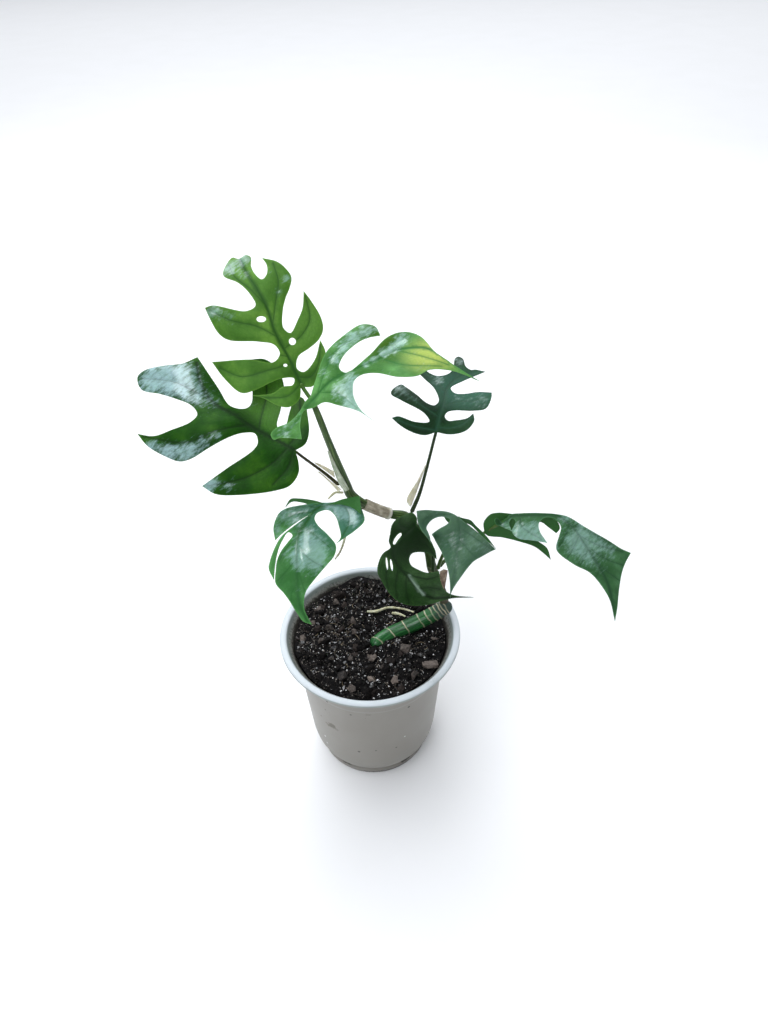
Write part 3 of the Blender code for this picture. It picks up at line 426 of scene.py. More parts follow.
def soil_height(x, y):
    waves = sum(size * np.sin(fx * x + fy * y + phase) for fx, fy, phase, size in SOIL_WAVES)
    height = SOIL_TOP + SOIL_TILT * y + waves
    for mx, my, spread, rise in SOIL_HEAPS:
        height = height + rise * np.exp(-((x - mx) ** 2 + (y - my) ** 2) / spread)
    return height


def crumble(x, y):
    return sum(size * noise.noise(Vector((x / pitch, y / pitch, pitch))) for pitch, size in LUMPS)


def surface(x, y):
    return float(soil_height(x, y)) + crumble(x, y)


def soil_mesh():
    verts = [(0.0, 0.0, float(soil_height(0.0, 0.0)))]
    rings = [[0]]
    reach = inner_radius(108.0) - SOIL_GAP
    count = int(reach / SOIL_CELL)
    for i in range(1, count + 1):
        ring = []
        share = i / count
        here = max(8, int(round(SOIL_SIDES * share / 4)) * 4)
        for k in range(here):
            a = 2 * math.pi * (k + 0.5 * (i % 2)) / here
            x = reach * share * math.cos(a)
            y = reach * share * math.sin(a)
            z = float(soil_height(x, y)) + crumble(x, y) * min(1.0, (1 - share) * 12 + 0.25)
            if i == count:
                grow = (inner_radius(z - 2.0) - SOIL_GAP) / reach
                x, y = x * grow, y * grow
            ring.append(len(verts))
            verts.append((x, y, z))
        rings.append(ring)
    outer = len(rings[-1])
    for z in SOIL_RINGS:
        radius = SOIL_FOOT if z == SOIL_RINGS[-1] else inner_radius(z) - SOIL_GAP
        ring = []
        for k in range(outer):
            a = 2 * math.pi * (k + 0.5 * (count % 2)) / outer
            ring.append(len(verts))
            verts.append((radius * math.cos(a), radius * math.sin(a), z))
        rings.append(ring)
    return verts, rings


def stitch(rings):
    # joins rings of different counts, always closing the shorter diagonal
    faces = []
    for a, b in zip(rings, rings[1:]):
        if len(a) == 1:
            faces += [(a[0], b[k], b[(k + 1) % len(b)]) for k in range(len(b))]
            continue
        i = j = 0
        while i < len(a) or j < len(b):
            if j >= len(b) or (i < len(a) and (i + 1) / len(a) < (j + 1) / len(b)):
                faces.append((a[i % len(a)], b[j % len(b)], a[(i + 1) % len(a)]))
                i += 1
            else:
                faces.append((a[i % len(a)], b[j % len(b)], b[(j + 1) % len(b)]))
                j += 1
    faces.append(tuple(reversed(rings[-1])))
    return faces


def three_tones(mat, value, tones, stops):
    # a dark, a plain and a pale colour along a value
    node = add(mat, "ShaderNodeValToRGB", {"Fac": value})
    elements = node.color_ramp.elements
    for i, j in ((0, 0), (1, 2)):
        elements[i].position = stops[j]
        elements[i].color = colour(tones[j])
    elements.new(stops[1]).color = colour(tones[1])
    return node.outputs["Color"]


# composted bark and coir, crumbled and moist: near black, dull, with a little shine on wet lumps
compost, place = new_material("compost_crumbled_moist", "#141212")
lumps = clouds(compost, place, 420.0, 6.0, 0.7)
tone = three_tones(compost, lumps, ("#040404", "#0d0b0b", "#453e3b"), (0.40, 0.58, 0.74))
set_surface(compost, {"Base Color": tone, "Roughness": remap(compost, lumps, 0.0, 1.0, 0.45, 0.95),
                      "Normal": bump(compost, clouds(compost, place, 1900.0, 4.0), 0.9, 0.0006),
                      "IOR": 1.4, "Specular IOR Level": 0.15})

verts, rings = soil_mesh()
new_piece("mix_bed", verts, stitch(rings), compost, ["soil"], sharp=70.0)


def shard(rng, points):
    # an angular grain: the hull of a few random points near a ball's skin
    bm = bmesh.new()
    for v in rng.normal(size=(points, 3)):
        bm.verts.new(Vector(v).normalized() * rng.uniform(0.75, 1.0))
    bmesh.ops.convex_hull(bm, input=list(bm.verts))
    bm.verts.index_update()
    bm.verts.ensure_lookup_table()
    used = sorted({v.index for f in bm.faces for v in f.verts})
    number = {v: i for i, v in enumerate(used)}
    verts = np.array([bm.verts[v].co for v in used])
    faces = [[number[v.index] for v in f.verts] for f in bm.faces]
    bm.free()
    return verts, faces


def clod(rng):
    # a soft crumbly lump: a small ball pushed in and out
    bm = bmesh.new()
    bmesh.ops.create_icosphere(bm, subdivisions=3, radius=1.0)
    shift = Vector(rng.uniform(-50, 50, 3))
    verts = []
    for v in bm.verts:
        push = 1.0 + 0.5 * noise.noise(v.co * 1.3 + shift)
        verts.append(v.co * (push + 0.35 * noise.noise(v.co * 3.4 + shift)))
    faces = [[v.index for v in f.verts] for f in bm.faces]
    bm.free()
    return np.array(verts), faces


shape_rng = np.random.default_rng(11)
FINE_SHARDS = [shard(shape_rng, 7) for _ in range(40)]
SHARDS = [shard(shape_rng, 12) for _ in range(40)]
CLODS = [clod(shape_rng) for _ in range(14)]


def way_off(line, x, y):
    best = 1e9
    for (ax, ay), (bx, by) in zip(line, line[1:]):
        dx, dy = bx - ax, by - ay
        t = min(max(((x - ax) * dx + (y - ay) * dy) / (dx * dx + dy * dy), 0.0), 1.0)
        best = min(best, math.hypot(x - ax - t * dx, y - ay - t * dy))
    return best


def is_free(x, y, size):
    if way_off(CANE_LINE, x, y) < CANE_CLEAR + 0.9 * size:
        return False
    if size < ROOT_CLEAR:
        return True
    return min(way_off(line, x, y) for line in ROOT_LINES.values()) > ROOT_CLEAR + size


def strew(rng, count, low, high, skew, middle=None):
    # random places and half widths, most of them small; with middle, gathered round that point
    out = []
    while len(out) < count:
        size = low + (high - low) * rng.uniform() ** skew
        reach = inner_radius(111.0) - 0.3 - size
        if middle is None:
            radius = reach * math.sqrt(rng.uniform())
            angle = rng.uniform(0, 2 * math.pi)
            x, y = radius * math.cos(angle), radius * math.sin(angle)
        else:
            x, y = rng.normal(middle[0], middle[2]), rng.normal(middle[1], middle[2])
        if math.hypot(x, y) < reach and is_free(x, y, size):
            out.append((x, y, size, rng.uniform()))
    return out


def lay(name, grains, shapes, flat, lean, sink, mat, seed, sharp=20.0):
    # grains laid on the mix, each turned its own way and let into the mix by the share sink
    rng = np.random.default_rng(seed)
    verts = []
    faces = []
    shade = []
    for x, y, size, tone in grains:
        shape, shape_faces = shapes[rng.integers(len(shapes))]
        spin = Matrix.Rotation(rng.uniform(0, 6.28), 3, "Z")
        turn = spin @ Matrix.Rotation(rng.normal(0, lean), 3, "X")
        scale = size * rng.uniform(0.9, 1.3), size * rng.uniform(0.65, 1.0), size * flat
        points = (shape * np.array(scale)) @ np.array(turn).T
        z = surface(x, y) - points[:, 2].min() * (1 - 2 * sink)
        faces += [[len(verts) + v for v in f] for f in shape_faces]
        verts += (points + (x, y, z)).tolist()
        shade += [tone] * len(points)
    new_piece(name, verts, faces, mat, sharp=sharp, values={"shade": shade})


def grain_material(name, dark, pale, rough, scale_mm, relief, mottle=1.0, wet=0.5):
    # a two-tone mineral or woody grain: each one its own tone, with a rough broken face
    mat, place = new_material(name, pale)
    face = clouds(mat, place, 1000.0 / scale_mm, 4.0, 0.65)
    spread = remap(mat, face, 0.3, 0.7, -0.3 * mottle, 0.3 * mottle)
    part = maths(mat, "ADD", kept(mat, "shade"), spread, use_clamp=True)
    set_surface(mat, {"Base Color": mix(mat, part, dark, pale), "Roughness": rough,
                      "Specular IOR Level": wet, "Normal": bump(mat, face, relief, 0.0005)})
    return mat


# crumbs of the same compost: most of them black and moist, so they glint, the others brown
crumbs = grain_material("compost_crumbs_broken", "#040404", "#a39a90",
                        rough=0.55, scale_mm=0.8, relief=0.5, mottle=0.5, wet=0.15)
# splinters of wet bark: black, and flat faced enough to glint
wet_bark = grain_material("bark_splinters_wet", "#030303", "#4d4541",
                          rough=0.22, scale_mm=0.9, relief=0.25, mottle=0.4, wet=0.8)
# clods: compost pressed into lumps, dull and dark
clods = grain_material("compost_clods_pressed", "#050404", "#423a36",
                       rough=0.8, scale_mm=0.9, relief=1.0, mottle=1.0, wet=0.12)
# pine bark, chipped: grey brown, layered and dull
bark = grain_material("pine_bark_chipped", "#191513", "#7f736a",
                      rough=0.7, scale_mm=1.4, relief=0.9, mottle=1.0, wet=0.3)
# expanded perlite: matt white volcanic grit
perlite = grain_material("perlite_expanded", "#b4b2ad", "#ffffff",
                         rough=0.7, scale_mm=0.5, relief=0.4)
# coir and root fibre, shredded: dry brown hairs
coir = grain_material("coir_fibre_shredded", "#2a211b", "#8f8065",
                      rough=0.8, scale_mm=0.5, relief=0.3)


def dry_crust(grains, strength):
    # tones that are mostly dark, and paler where the mix has dried
    out = []
    mx, my, spread, dryness = CRUST
    for x, y, size, tone in grains:
        crust = math.exp(-((x - mx) ** 2 + (y - my) ** 2) / spread)
        out.append((x, y, size, min(1.0, strength * tone ** 5 + dryness * crust * tone)))
    return out


# how many grains, their least and greatest half width, how far small ones prevail, and the middle
# and spread of the clump at the back or of the grit before the cane
rng = np.random.default_rng(21)
fine = strew(rng, 4200, 0.35, 1.0, 1.6) + strew(rng, 260, 0.4, 1.3, 1.2, (-6.0, 50.0, 6.0))
lay("mix_crumbs_fine", dry_crust(fine, 0.9), FINE_SHARDS, flat=0.8, lean=1.2,
    sink=0.2, mat=crumbs, seed=22)
coarse = strew(rng, 780, 0.9, 2.4, 2.0) + strew(rng, 60, 0.9, 2.2, 1.6, (-6.0, 50.0, 6.5))
lay("mix_crumbs_coarse", dry_crust(coarse, 0.5), FINE_SHARDS, flat=0.75, lean=0.8,
    sink=0.22, mat=wet_bark, seed=23)
lumps = strew(rng, 66, 1.6, 3.6, 1.6) + strew(rng, 6, 2.0, 3.2, 1.0, (-6.0, 50.0, 5.0))
lay("mix_clods", dry_crust(lumps, 0.7), CLODS, flat=0.6, lean=0.4,
    sink=0.38, mat=clods, seed=24, sharp=70.0)
chips = [(x, y, CHIP_WIDEN * size, tone) for x, y, size, tone in CHIPS]
lay("bark_chips", chips, SHARDS, flat=0.5, lean=0.45,
    sink=0.12, mat=bark, seed=33)
white = strew(rng, 200, 0.26, 1.0, 1.9) + strew(rng, 170, 0.26, 1.05, 1.7, (4.0, -8.0, 22.0))
lay("perlite_grains", white, FINE_SHARDS, flat=0.9, lean=1.2,
    sink=0.05, mat=perlite, seed=47)


def unit(v):
    return v / np.linalg.norm(v)


def smooth_run(points, step):
    # an open curve through the points, with spacing that keeps tight turns free of loops
    pts = [np.array(p, float) for p in points]
    ends = [2 * pts[0] - pts[1]] + pts + [2 * pts[-1] - pts[-2]]
    out = []
    for p0, p1, p2, p3 in zip(ends, ends[1:], ends[2:], ends[3:]):
        k1 = max(np.linalg.norm(p1 - p0), 1e-6) ** 0.5
        k2 = k1 + max(np.linalg.norm(p2 - p1), 1e-6) ** 0.5
        k3 = k2 + max(np.linalg.norm(p3 - p2), 1e-6) ** 0.5
        steps = max(1, int(round(np.linalg.norm(p2 - p1) / step)))
        k = (k1 + (k2 - k1) * np.arange(steps) / steps)[:, None]
        a1 = (k1 - k) / k1 * p0 + k / k1 * p1
        a2 = (k2 - k) / (k2 - k1) * p1 + (k - k1) / (k2 - k1) * p2
        a3 = (k3 - k) / (k3 - k2) * p2 + (k - k2) / (k3 - k2) * p3
        b1 = (k2 - k) / k2 * a1 + k / k2 * a2
        b2 = (k3 - k) / (k3 - k1) * a2 + (k - k1) / (k3 - k1) * a3
        out.extend((k2 - k) / (k2 - k1) * b1 + (k - k1) / (k2 - k1) * b2)
    out.append(pts[-1])
    return np.array(out)


def tube(centres, radii, sides, step, bulge=None, round_ends=True):
    # a round stem: points, faces, and for each point how far along and around the skin it is
    path = smooth_run(centres, step)
    gaps = np.linalg.norm(np.diff(path, axis=0), axis=1)
    total = np.r_[0.0, np.cumsum(gaps)]
    marks = np.linspace(0.0, total[-1], len(radii))
    if len(radii) == len(centres):
        marks = [total[np.linalg.norm(path - np.array(c), axis=1).argmin()] for c in centres]
    size = np.interp(total, marks, radii)
    last = len(path) - 1
    verts = []
    skin = []
    rings = []
    up = np.array([0.0, -1.0, -0.6])
    turn = np.arange(sides) * 2 * math.pi / sides
    for i, p in enumerate(path):
        along = unit(path[min(i + 1, last)] - path[max(i - 1, 0)])
        up = unit(up - along * np.dot(up, along))
        side = np.cross(along, up)
        r = np.full(sides, size[i])
        if bulge is not None:
            r = r + bulge(total[i], turn)
        for from_end in (total[i], total[-1] - total[i]):
            if round_ends and from_end < size[i]:
                r = r * math.sqrt(max(0.02, 1 - (1 - from_end / size[i]) ** 2))
        rings.append(list(range(len(verts), len(verts) + sides)))
        for k in range(sides):
            verts.append(p + r[k] * (math.cos(turn[k]) * up + math.sin(turn[k]) * side))
            skin.append((total[i], turn[k] * size[i], turn[k]))
    faces = [face for a, b in zip(rings, rings[1:]) for face in band(a, b)]
    return np.array(verts), faces + [rings[0][::-1], rings[-1]], np.array(skin)


# fine fibres, each bent its own way, lying on the mix and half sunk in it
rng = np.random.default_rng(58)
verts = []
faces = []
shade = []
for x, y, size, tone in strew(rng, 80, 2.0, 5.5, 1.2):
    heading = rng.uniform(0, 2 * math.pi)
    run = []
    for k in range(4):
        heading += rng.normal(0, 0.45)
        x += size / 2 * math.cos(heading)
        y += size / 2 * math.sin(heading)
        run.append((x, y, surface(x, y) + rng.uniform(0.1, 0.9)))
    if max(math.hypot(p[0], p[1]) for p in run) > COIR_REACH:
        continue
    points, sides, _ = tube(run, [0.16, 0.2, 0.12], 6, 0.8)
    faces += [[len(verts) + v for v in f] for f in sides]
    verts += points.tolist()
    shade += [tone ** 2] * len(points)
new_piece("coir_fibres", verts, faces, coir, values={"shade": shade})


# The old cane: a thick piece of last year's stem, laid into the mix, green and smooth with pale
# rings where leaves once grew. Its left end slips under the crumbs, and its cut right end has dried
# grey brown.
CANE_PATH = [(0.5, -6.8, 109.8), (14.0, 2.6, 111.2), (33.0, 8.0, 117.0), (47.0, 10.5, 124.0),
             (55.0, 12.0, 129.0), (59.5, 12.6, 131.6)]
CANE_RADII = [4.6, 5.4, 5.5, 5.5, 5.5, 5.6, 5.6, 5.5, 5.4, 4.7]
# how far along the cane each ring scar sits, and how much it leans
CANE_SCARS = [(5.2, 1.5), (17.3, 1.7), (29.2, 1.5), (41.5, 1.2), (47.7, 1.1), (52.3, 0.9),
              (55.8, 0.9), (58.9, 0.8), (61.0, 0.7), (63.4, 0.6)]
# the stretch over which the cane goes from green to dried
CANE_DRIES = (46.0, 66.0)


def ring_heights(scars, width):
    def height(along, turn):
        out = np.zeros(len(turn))
        for place, lean in scars:
            # each ring wanders a little and is thinner or broken in places
            wander = 0.25 * np.sin(3.0 * turn + place) + 0.12 * np.sin(7.0 * turn + 2.0 * place)
            broken = 0.72 + 0.28 * np.sin(2.0 * turn + 1.7 * place)
            gap = along - place - lean * np.cos(turn + 0.9) - wander
            out = np.maximum(out, broken * np.exp(-(gap / width) ** 2))
        return out
    return height


def stem_material(name, tones, pale_ring, dry, streak_mm, rough):
    # a living stem skin: long streaks, ring scars and a dried stretch, from values on the mesh
    mat, place = new_material(name, tones[1])
    squeeze = vector_maths(mat, "MULTIPLY", kept(mat, "skin", "Vector"),
                           (0.06 / streak_mm, 1.0 / streak_mm, 0.0))
    streaks = clouds(mat, squeeze, 1.0, 5.0, 0.6)
    tone = three_tones(mat, streaks, tones, (0.32, 0.50, 0.70))
    dry_edge = maths(mat, "ADD", kept(mat, "dry"), clouds(mat, place, 700.0, 3.0))
    dry_part = remap(mat, dry_edge, 0.75, 1.15)
    tone = mix(mat, dry_part, tone, dry)
    tone = mix(mat, kept(mat, "scar"), tone, pale_ring)
    set_surface(mat, {"Base Color": tone, "Roughness": remap(mat, dry_part, 0.0, 1.0, rough, 0.8),
                      "Normal": bump(mat, streaks, 0.35, 0.0004), "IOR": 1.45,
                      "Subsurface Weight": 0.08, "Subsurface Radius": (0.6, 1.0, 0.3),
                      "Subsurface Scale": 0.001})
    return mat


def dried(along, start, end):
    # 0 before start, 1 after end, in millimetres along the stem
    return np.clip((along - start) / (end - start), 0.0, 1.0)


def stem(name, node, path, radii, sides, step, scars, width, rise, scar_pale, dry, mat):
    # a round stem with raised ring scars
    heights = ring_heights(scars, width)
    verts, faces, skin = tube(path, radii, sides, step,
                              lambda along, turn: rise * heights(along, turn))
    scar = np.array([heights(along, np.array([turn]))[0] for along, _, turn in skin])
    new_piece(name, verts, faces, mat, [node],
              values={"skin": skin, "scar": scar * scar_pale, "dry": dry(skin[:, 0])})


# monstera cane, grown: waxy mid green skin with dark streaks and thin corky rings
cane_skin = stem_material("cane_skin_waxed_green", ("#123a1c", "#205a2b", "#3f8a45"),
                          pale_ring="#d6cdac", dry="#3c5046", streak_mm=1.3, rough=0.30)
stem("cane_stem", "old_cane", CANE_PATH, CANE_RADII, sides=56, step=0.24, scars=CANE_SCARS,
     width=0.42, rise=0.30, scar_pale=0.95, dry=lambda along: dried(along, *CANE_DRIES),
     mat=cane_skin)


# The vine: this year's stem. It springs from the old cane's right end, climbs behind the leaves,
# lies over to the left and turns up into the upright shoot, with a slightly swollen joint wherever
# a leaf leaves it.
VINE_PATH = [(54.6, 13.0, 130.0), (53.4, 15.6, 138.5), (49.6, 19.5, 148.0), (45.4, 22.2, 160.0),
             (42.6, 23.0, 175.0), (35.5, 21.0, 195.0), (26.0, 18.0, 212.0), (16.0, 15.0, 217.5),
             (6.5, 13.0, 224.0), (-2.0, 12.0, 230.5), (-8.5, 12.9, 236.5), (-10.8, 13.6, 244.0),
             (-15.1, 15.0, 258.5), (-20.9, 17.0, 278.0), (-24.6, 18.8, 291.0),
             (-26.6, 20.0, 297.2), (-28.3, 23.2, 300.5)]
VINE_RADII = [3.3, 3.2, 3.2, 3.6, 3.0, 2.9, 3.6, 2.8, 2.7, 2.8, 3.3, 2.9, 2.4, 2.1, 2.0, 1.8, 1.2]
VINE_SCARS = [(19.0, 0.5), (31.5, 0.6), (34.5, 0.5), (66.0, 0.4), (86.5, 0.6), (90.0, 0.4),
              (115.0, 0.5), (121.0, 0.6)]
# the stretch over which the old bark ends and the green skin begins
VINE_GREENS = (26.0, 44.0)
# monstera vine, grown: olive green, browner and streaked on its older part
vine_skin = stem_material("vine_skin_streaked_olive", ("#1f2e14", "#3a5425", "#678045"),
                          pale_ring="#a9aa8c", dry="#5d5348", streak_mm=0.8, rough=0.34)
stem("vine_stem", "vine", VINE_PATH, VINE_RADII, sides=28, step=0.9, scars=VINE_SCARS,
     width=0.5, rise=0.16, scar_pale=0.6,
     dry=lambda along: 0.55 * (1 - dried(along, *VINE_GREENS)), mat=vine_skin)


# The leaves: eight grown blades, each one piece with its stalk. A blade is a thin waxy sheet, cut
# into lobes and pierced along the midrib. Its veins lie in shallow grooves on the upper side, with
# the skin slightly quilted between them.
BOARD_TILT = math.radians(40.7)
BOARD_UP = np.array([0.0, math.sin(BOARD_TILT), math.cos(BOARD_TILT)])
BOARD_OUT = np.array([0.0, -math.cos(BOARD_TILT), math.sin(BOARD_TILT)])
BOARD_RIGHT = np.array([1.0, 0.0, 0.0])
# how thick a blade is in its middle and at its edge, and how far from the edge its full thickness,
# its quilting and its keels begin
BLADE_MIDDLE = 0.62
BLADE_EDGE = 0.34
THICK_FROM = 2.5
QUILT_FROM = 3.0
KEEL_FROM = 1.5
# the spacing of the points along the edge, along the veins and between them, how far the two rows
# beside a vein lie from it, and what the points between keep clear of veins and of edges
EDGE_STEP = 1.1
VEIN_STEP = 0.9
GRID_STEP = 1.7
VEIN_ROW = 0.55
VEIN_CLEAR = 1.15
EDGE_CLEAR = 0.55
HOLE_POINTS = 28
# depth and half width of the grooves over a side vein and over the midrib, and the same of the
# keels that they raise on the underside
GROOVES = [(0.16, 0.6), (0.22, 0.9)]
KEELS = [(0.30, 0.7), (0.45, 1.1)]
# strength and half width of the darker line along each
VEIN_LINES = [(0.75, 0.55), (1.0, 0.95)]
# how far from a vein the quilting is full, the height and pitch of the sheet's own waves, and the
# half width of the pale line along leaf F's midrib
QUILT_REACH = 4.0
RIPPLE = 0.35
RIPPLE_PITCH = 11.0
MARK_REACH = 0.75
# the most that the sheen spots add up to, the pitch and strength of the patches they break into,
# and how much of them the underside has; where they are, the wax glosses and a sheen is painted
SHINE_MOST = 1.1
SHINE_PITCH = 7.0
SHINE_PATCHY = 0.5
SHINE_BELOW = 0.2
# how far the midrib lies under the middle of the blade, and the share of it that stands out
RIB_DROP = 1.35
RIB_SHARE = 0.86
# the stalk and the midrib are one tube; the way over which its colour changes from the stalk's to
# the blade's, and how strongly it is drawn as a vein and as waxed, with gloss and painted sheen
STALK_SIDES = 16
STALK_STEP = 1.6
STALK_FADES = 3.0
STALK_VEIN = 0.6
STALK_SHINE = 0.3
# where there is no vein or no edge, every point counts as this far from one
NO_VEIN = 9.0
NO_RIM = 5.0

# outlines are drawn on a board that faces the viewer, in millimetres right and up from the leaf's
# base; a third number marks a sharp tip, and the knots give how far the blade stands out from the
# board; at the sheen spots the wax glosses and a pale sheen is painted into the colour: place,
# reach and strength of each; the parts under "more" are folded over
LEAF_A = {
    "seat": (-37, 46, 294),
    "outline": [(0, 2, 1), (-1, -6), (-7, -11), (-14, -10), (-23, -5), (-30, -3, 1), (-17, -2),
        (-11, 2), (-5, 3), (-4, 7), (-12, 7), (-29, 0), (-37, -1), (-48, 9), (-55, 19, 1),
        (-31, 19), (-16, 17), (-12, 22), (-15, 27), (-24, 29), (-43, 31), (-49, 35), (-55, 46),
        (-57, 51, 1), (-52, 52), (-31, 47), (-25, 50), (-29, 58), (-36, 65), (-45, 70), (-45, 74),
        (-40, 82), (-36, 81), (-31, 83), (-28, 81), (-28, 76), (-26, 71), (-21, 66), (-18, 69),
        (-18, 75), (-21, 80, 1), (-12, 77), (-7, 73), (-3, 67), (-4, 61), (-7, 54), (-9, 46),
        (-9, 37), (-5, 34), (0, 42), (3, 49), (4, 59, 1), (9, 52), (14, 43), (15, 36), (12, 30),
        (6, 25), (-1, 20), (-2, 13), (2, 11), (9, 18), (13, 30, 1), (16, 22), (13, 10), (7, 2)],
    "holes": [(-22, 42, 2.9, 1.7, 0.0), (-4, 29, 2.1, 2.1, 0.0), (-9, 15, 1.2, 0.9, 0.0)],
    "rib": [(0, 4), (-7, 20), (-14, 34), (-18, 48), (-24, 60), (-30, 70), (-35, 80)],
    "knots": [(0, 0, 0), (-16, 32, 7), (-28, 55, 11), (-36, 77, 4), (-52, 14, -2), (-60, 50, 4),
        (-46, 68, 6), (10, 28, 3), (0, 52, 8), (-8, 72, 10), (-28, -6, 2), (-7, -11, 4)],
    "veins": [[(0, 4), (-8, -4), (-18, -5), (-27, -4)], [(-5, 16), (-20, 12), (-36, 9), (-50, 15)],
        [(-12, 31), (-25, 38), (-40, 42), (-54, 49)], [(-19, 50), (-28, 60), (-38, 69), (-42, 77)],
        [(-15, 40), (-13, 52), (-11, 64), (-14, 76)], [(-9, 25), (1, 32), (7, 42), (5, 56)],
        [(-2, 8), (6, 8), (11, 15), (13, 27)], [(-7, 20), (-18, 23), (-13, 24)]],
    "gloss_and_painted_sheen": [(-41, 75, 6, 0.75), (-32, 80, 5, 0.65), (-31, 69, 4, 0.4), (-6, 66, 3, 0.7),
        (-11, 58, 3, 0.45), (-17, 71, 3, 0.35), (-52, 49, 5, 0.8), (-42, 45, 5, 0.35),
        (-33, 51, 4, 0.3)],
    "stalk": [(-28.5, 23.5, 300.5), (-32, 33, 299)],
    "stalk_radii": [1.2, 1.2, 1.2, 1.1, 1.0, 0.9, 0.7],
}
LEAF_B = {
    "seat": (-40, 10, 274),
    "outline": [(0, 0, 1), (2, -7), (2, -14), (-3, -21), (-12, -24), (-34, -26), (-48, -25),
        (-56, -20, 1), (-40, -10), (-25, 0), (-22, 5), (-24, 11), (-30, 11), (-36, 9), (-50, 2),
        (-62, -4), (-69, -5), (-77, -2), (-89, 5), (-96, 13, 1), (-85, 11), (-73, 14), (-61, 18),
        (-57, 22), (-58, 25), (-62, 29), (-71, 33), (-82, 37), (-95, 41), (-98, 49), (-94, 53),
        (-83, 55), (-68, 56), (-60, 60, 1), (-56, 54), (-47, 40), (-40, 29), (-35, 27), (-31, 28),
        (-29, 32), (-29, 42), (-31, 61, 1), (-22, 62), (-15, 57), (-10, 46), (-11, 28), (-12, 17),
        (-10, 13), (-7, 15), (-5, 26), (-2, 36), (3, 35), (7, 21), (8, 11), (6, 4)],
    "rib": [(0, 0), (-12, 7), (-26, 15), (-37, 23), (-46, 28), (-52, 34), (-57, 43), (-60, 56)],
    "knots": [(0, 0, 0), (-35, 20, 2), (-58, 52, -8), (-94, 44, -12), (-94, 10, -4), (-55, -20, 2),
        (-26, 30, -22), (-26, 55, -30), (8, 20, -12), (-10, -24, 4), (2, 32, -23)],
    "veins": [[(-4, 2), (-14, -8), (-30, -16), (-52, -20)], [(-1, 0), (-4, -10), (-13, -20)],
        [(-28, 16), (-45, 12), (-64, 6), (-92, 11)], [(-46, 28), (-58, 36), (-74, 44), (-95, 48)],
        [(-22, 13), (-22, 26), (-21, 44), (-27, 60)], [(-4, 3), (1, 10), (2, 22), (1, 34)]],
    "gloss_and_painted_sheen": [(-87, 47, 12, 0.9), (-70, 45, 11, 1.0), (-58, 34, 8, 0.5), (-47, 30, 6, 0.3),
        (-86, 5, 5, 0.65), (-76, 0, 6, 0.85), (-64, 0, 6, 0.85), (-54, 4, 5, 0.7), (-45, 9, 4, 0.4),
        (-48, -18, 4, 0.7), (-53, -22, 4, 0.8), (-39, -20, 4, 0.5), (-21, 56, 5, 0.2),
        (-30, 32, 4, 0.4)],
    "stalk": [(-15.2, 12.6, 244.3), (-23.5, 12.2, 254.3), (-35.9, 11.0, 268.1)],
    "stalk_radii": [1.2, 0.95, 0.85, 0.85, 0.85, 0.85, 0.8, 0.7],
}
LEAF_C = {
    "seat": (-27, 20, 301),
    "outline": [(-2, 4, 1), (1, 14), (7, 31), (18, 43), (29, 51), (37, 50), (40, 44, 1), (33, 42),
        (26, 38), (17, 28), (15, 21), (19, 18), (32, 29), (44, 43), (52, 47), (59, 47), (66, 43),
        (73, 32), (80, 25), (90, 17), (98, 11, 1), (90, 15), (82, 18), (69, 19), (61, 15), (50, 15),
        (38, 18), (29, 17), (24, 13), (23, 6), (24, 1), (28, -6), (36, -13, 1), (26, -6), (14, -2),
        (6, 0), (0, -3), (-6, -5), (-8, -13), (-7, -22, 1), (-20, -21), (-23, -22), (-25, -19),
        (-22, -15), (-15, -12), (-9, -6), (-5, 1)],
    "rib": [(-1, 1), (9, 12), (20, 18), (38, 27), (50, 34), (67, 35), (82, 24), (96, 12)],
    "knots": [(0, 0, 0), (8, 28, -8), (20, 16, -4), (28, 45, -20), (46, 26, -16), (60, 38, -26),
        (97, 13, -6), (56, 16, -6), (36, -12, 4), (-27, -22, 8), (-10, -20, 7), (75, 30, -16)],
    "veins": [[(2, 5), (7, 20), (15, 34), (36, 47)], [(32, 24), (44, 36), (56, 43)],
        [(40, 28), (54, 23), (76, 21)], [(4, 6), (14, 5), (24, -3), (35, -12)],
        [(-2, 0), (-9, -10), (-16, -18), (-22, -20)], [(50, 34), (62, 30), (80, 22)]],
    "gloss_and_painted_sheen": [(12, 26, 4, 0.6), (17, 33, 5, 0.75), (23, 41, 5, 0.85), (30, 46, 4.5, 0.75),
        (37, 48, 4, 0.55), (6, 18, 4, 0.4), (22, 17, 3, 0.4), (30.5, 23.2, 2.6, 0.6),
        (35.5, 27.2, 2.7, 0.75), (41.5, 31.6, 3.2, 0.9), (47, 35, 3.8, 0.9), (52, 40, 4.2, 0.75),
        (56, 44, 4, 0.5), (60, 32, 6, 0.1), (24, 8, 7, 1.0), (28, -1, 9, 1.35), (15, 7, 6, 0.5),
        (34, -10, 5, 0.8), (44, 19, 3, 0.3), (66, 20, 8, 0.15), (-16, -18, 8, 0.35),
        (-8, -8, 6, 0.25)],
    "stalk": [(-26.5, 19.4, 298.9)],
    "stalk_radii": [1.3, 1.1, 1.0, 0.95, 0.9, 0.8],
}
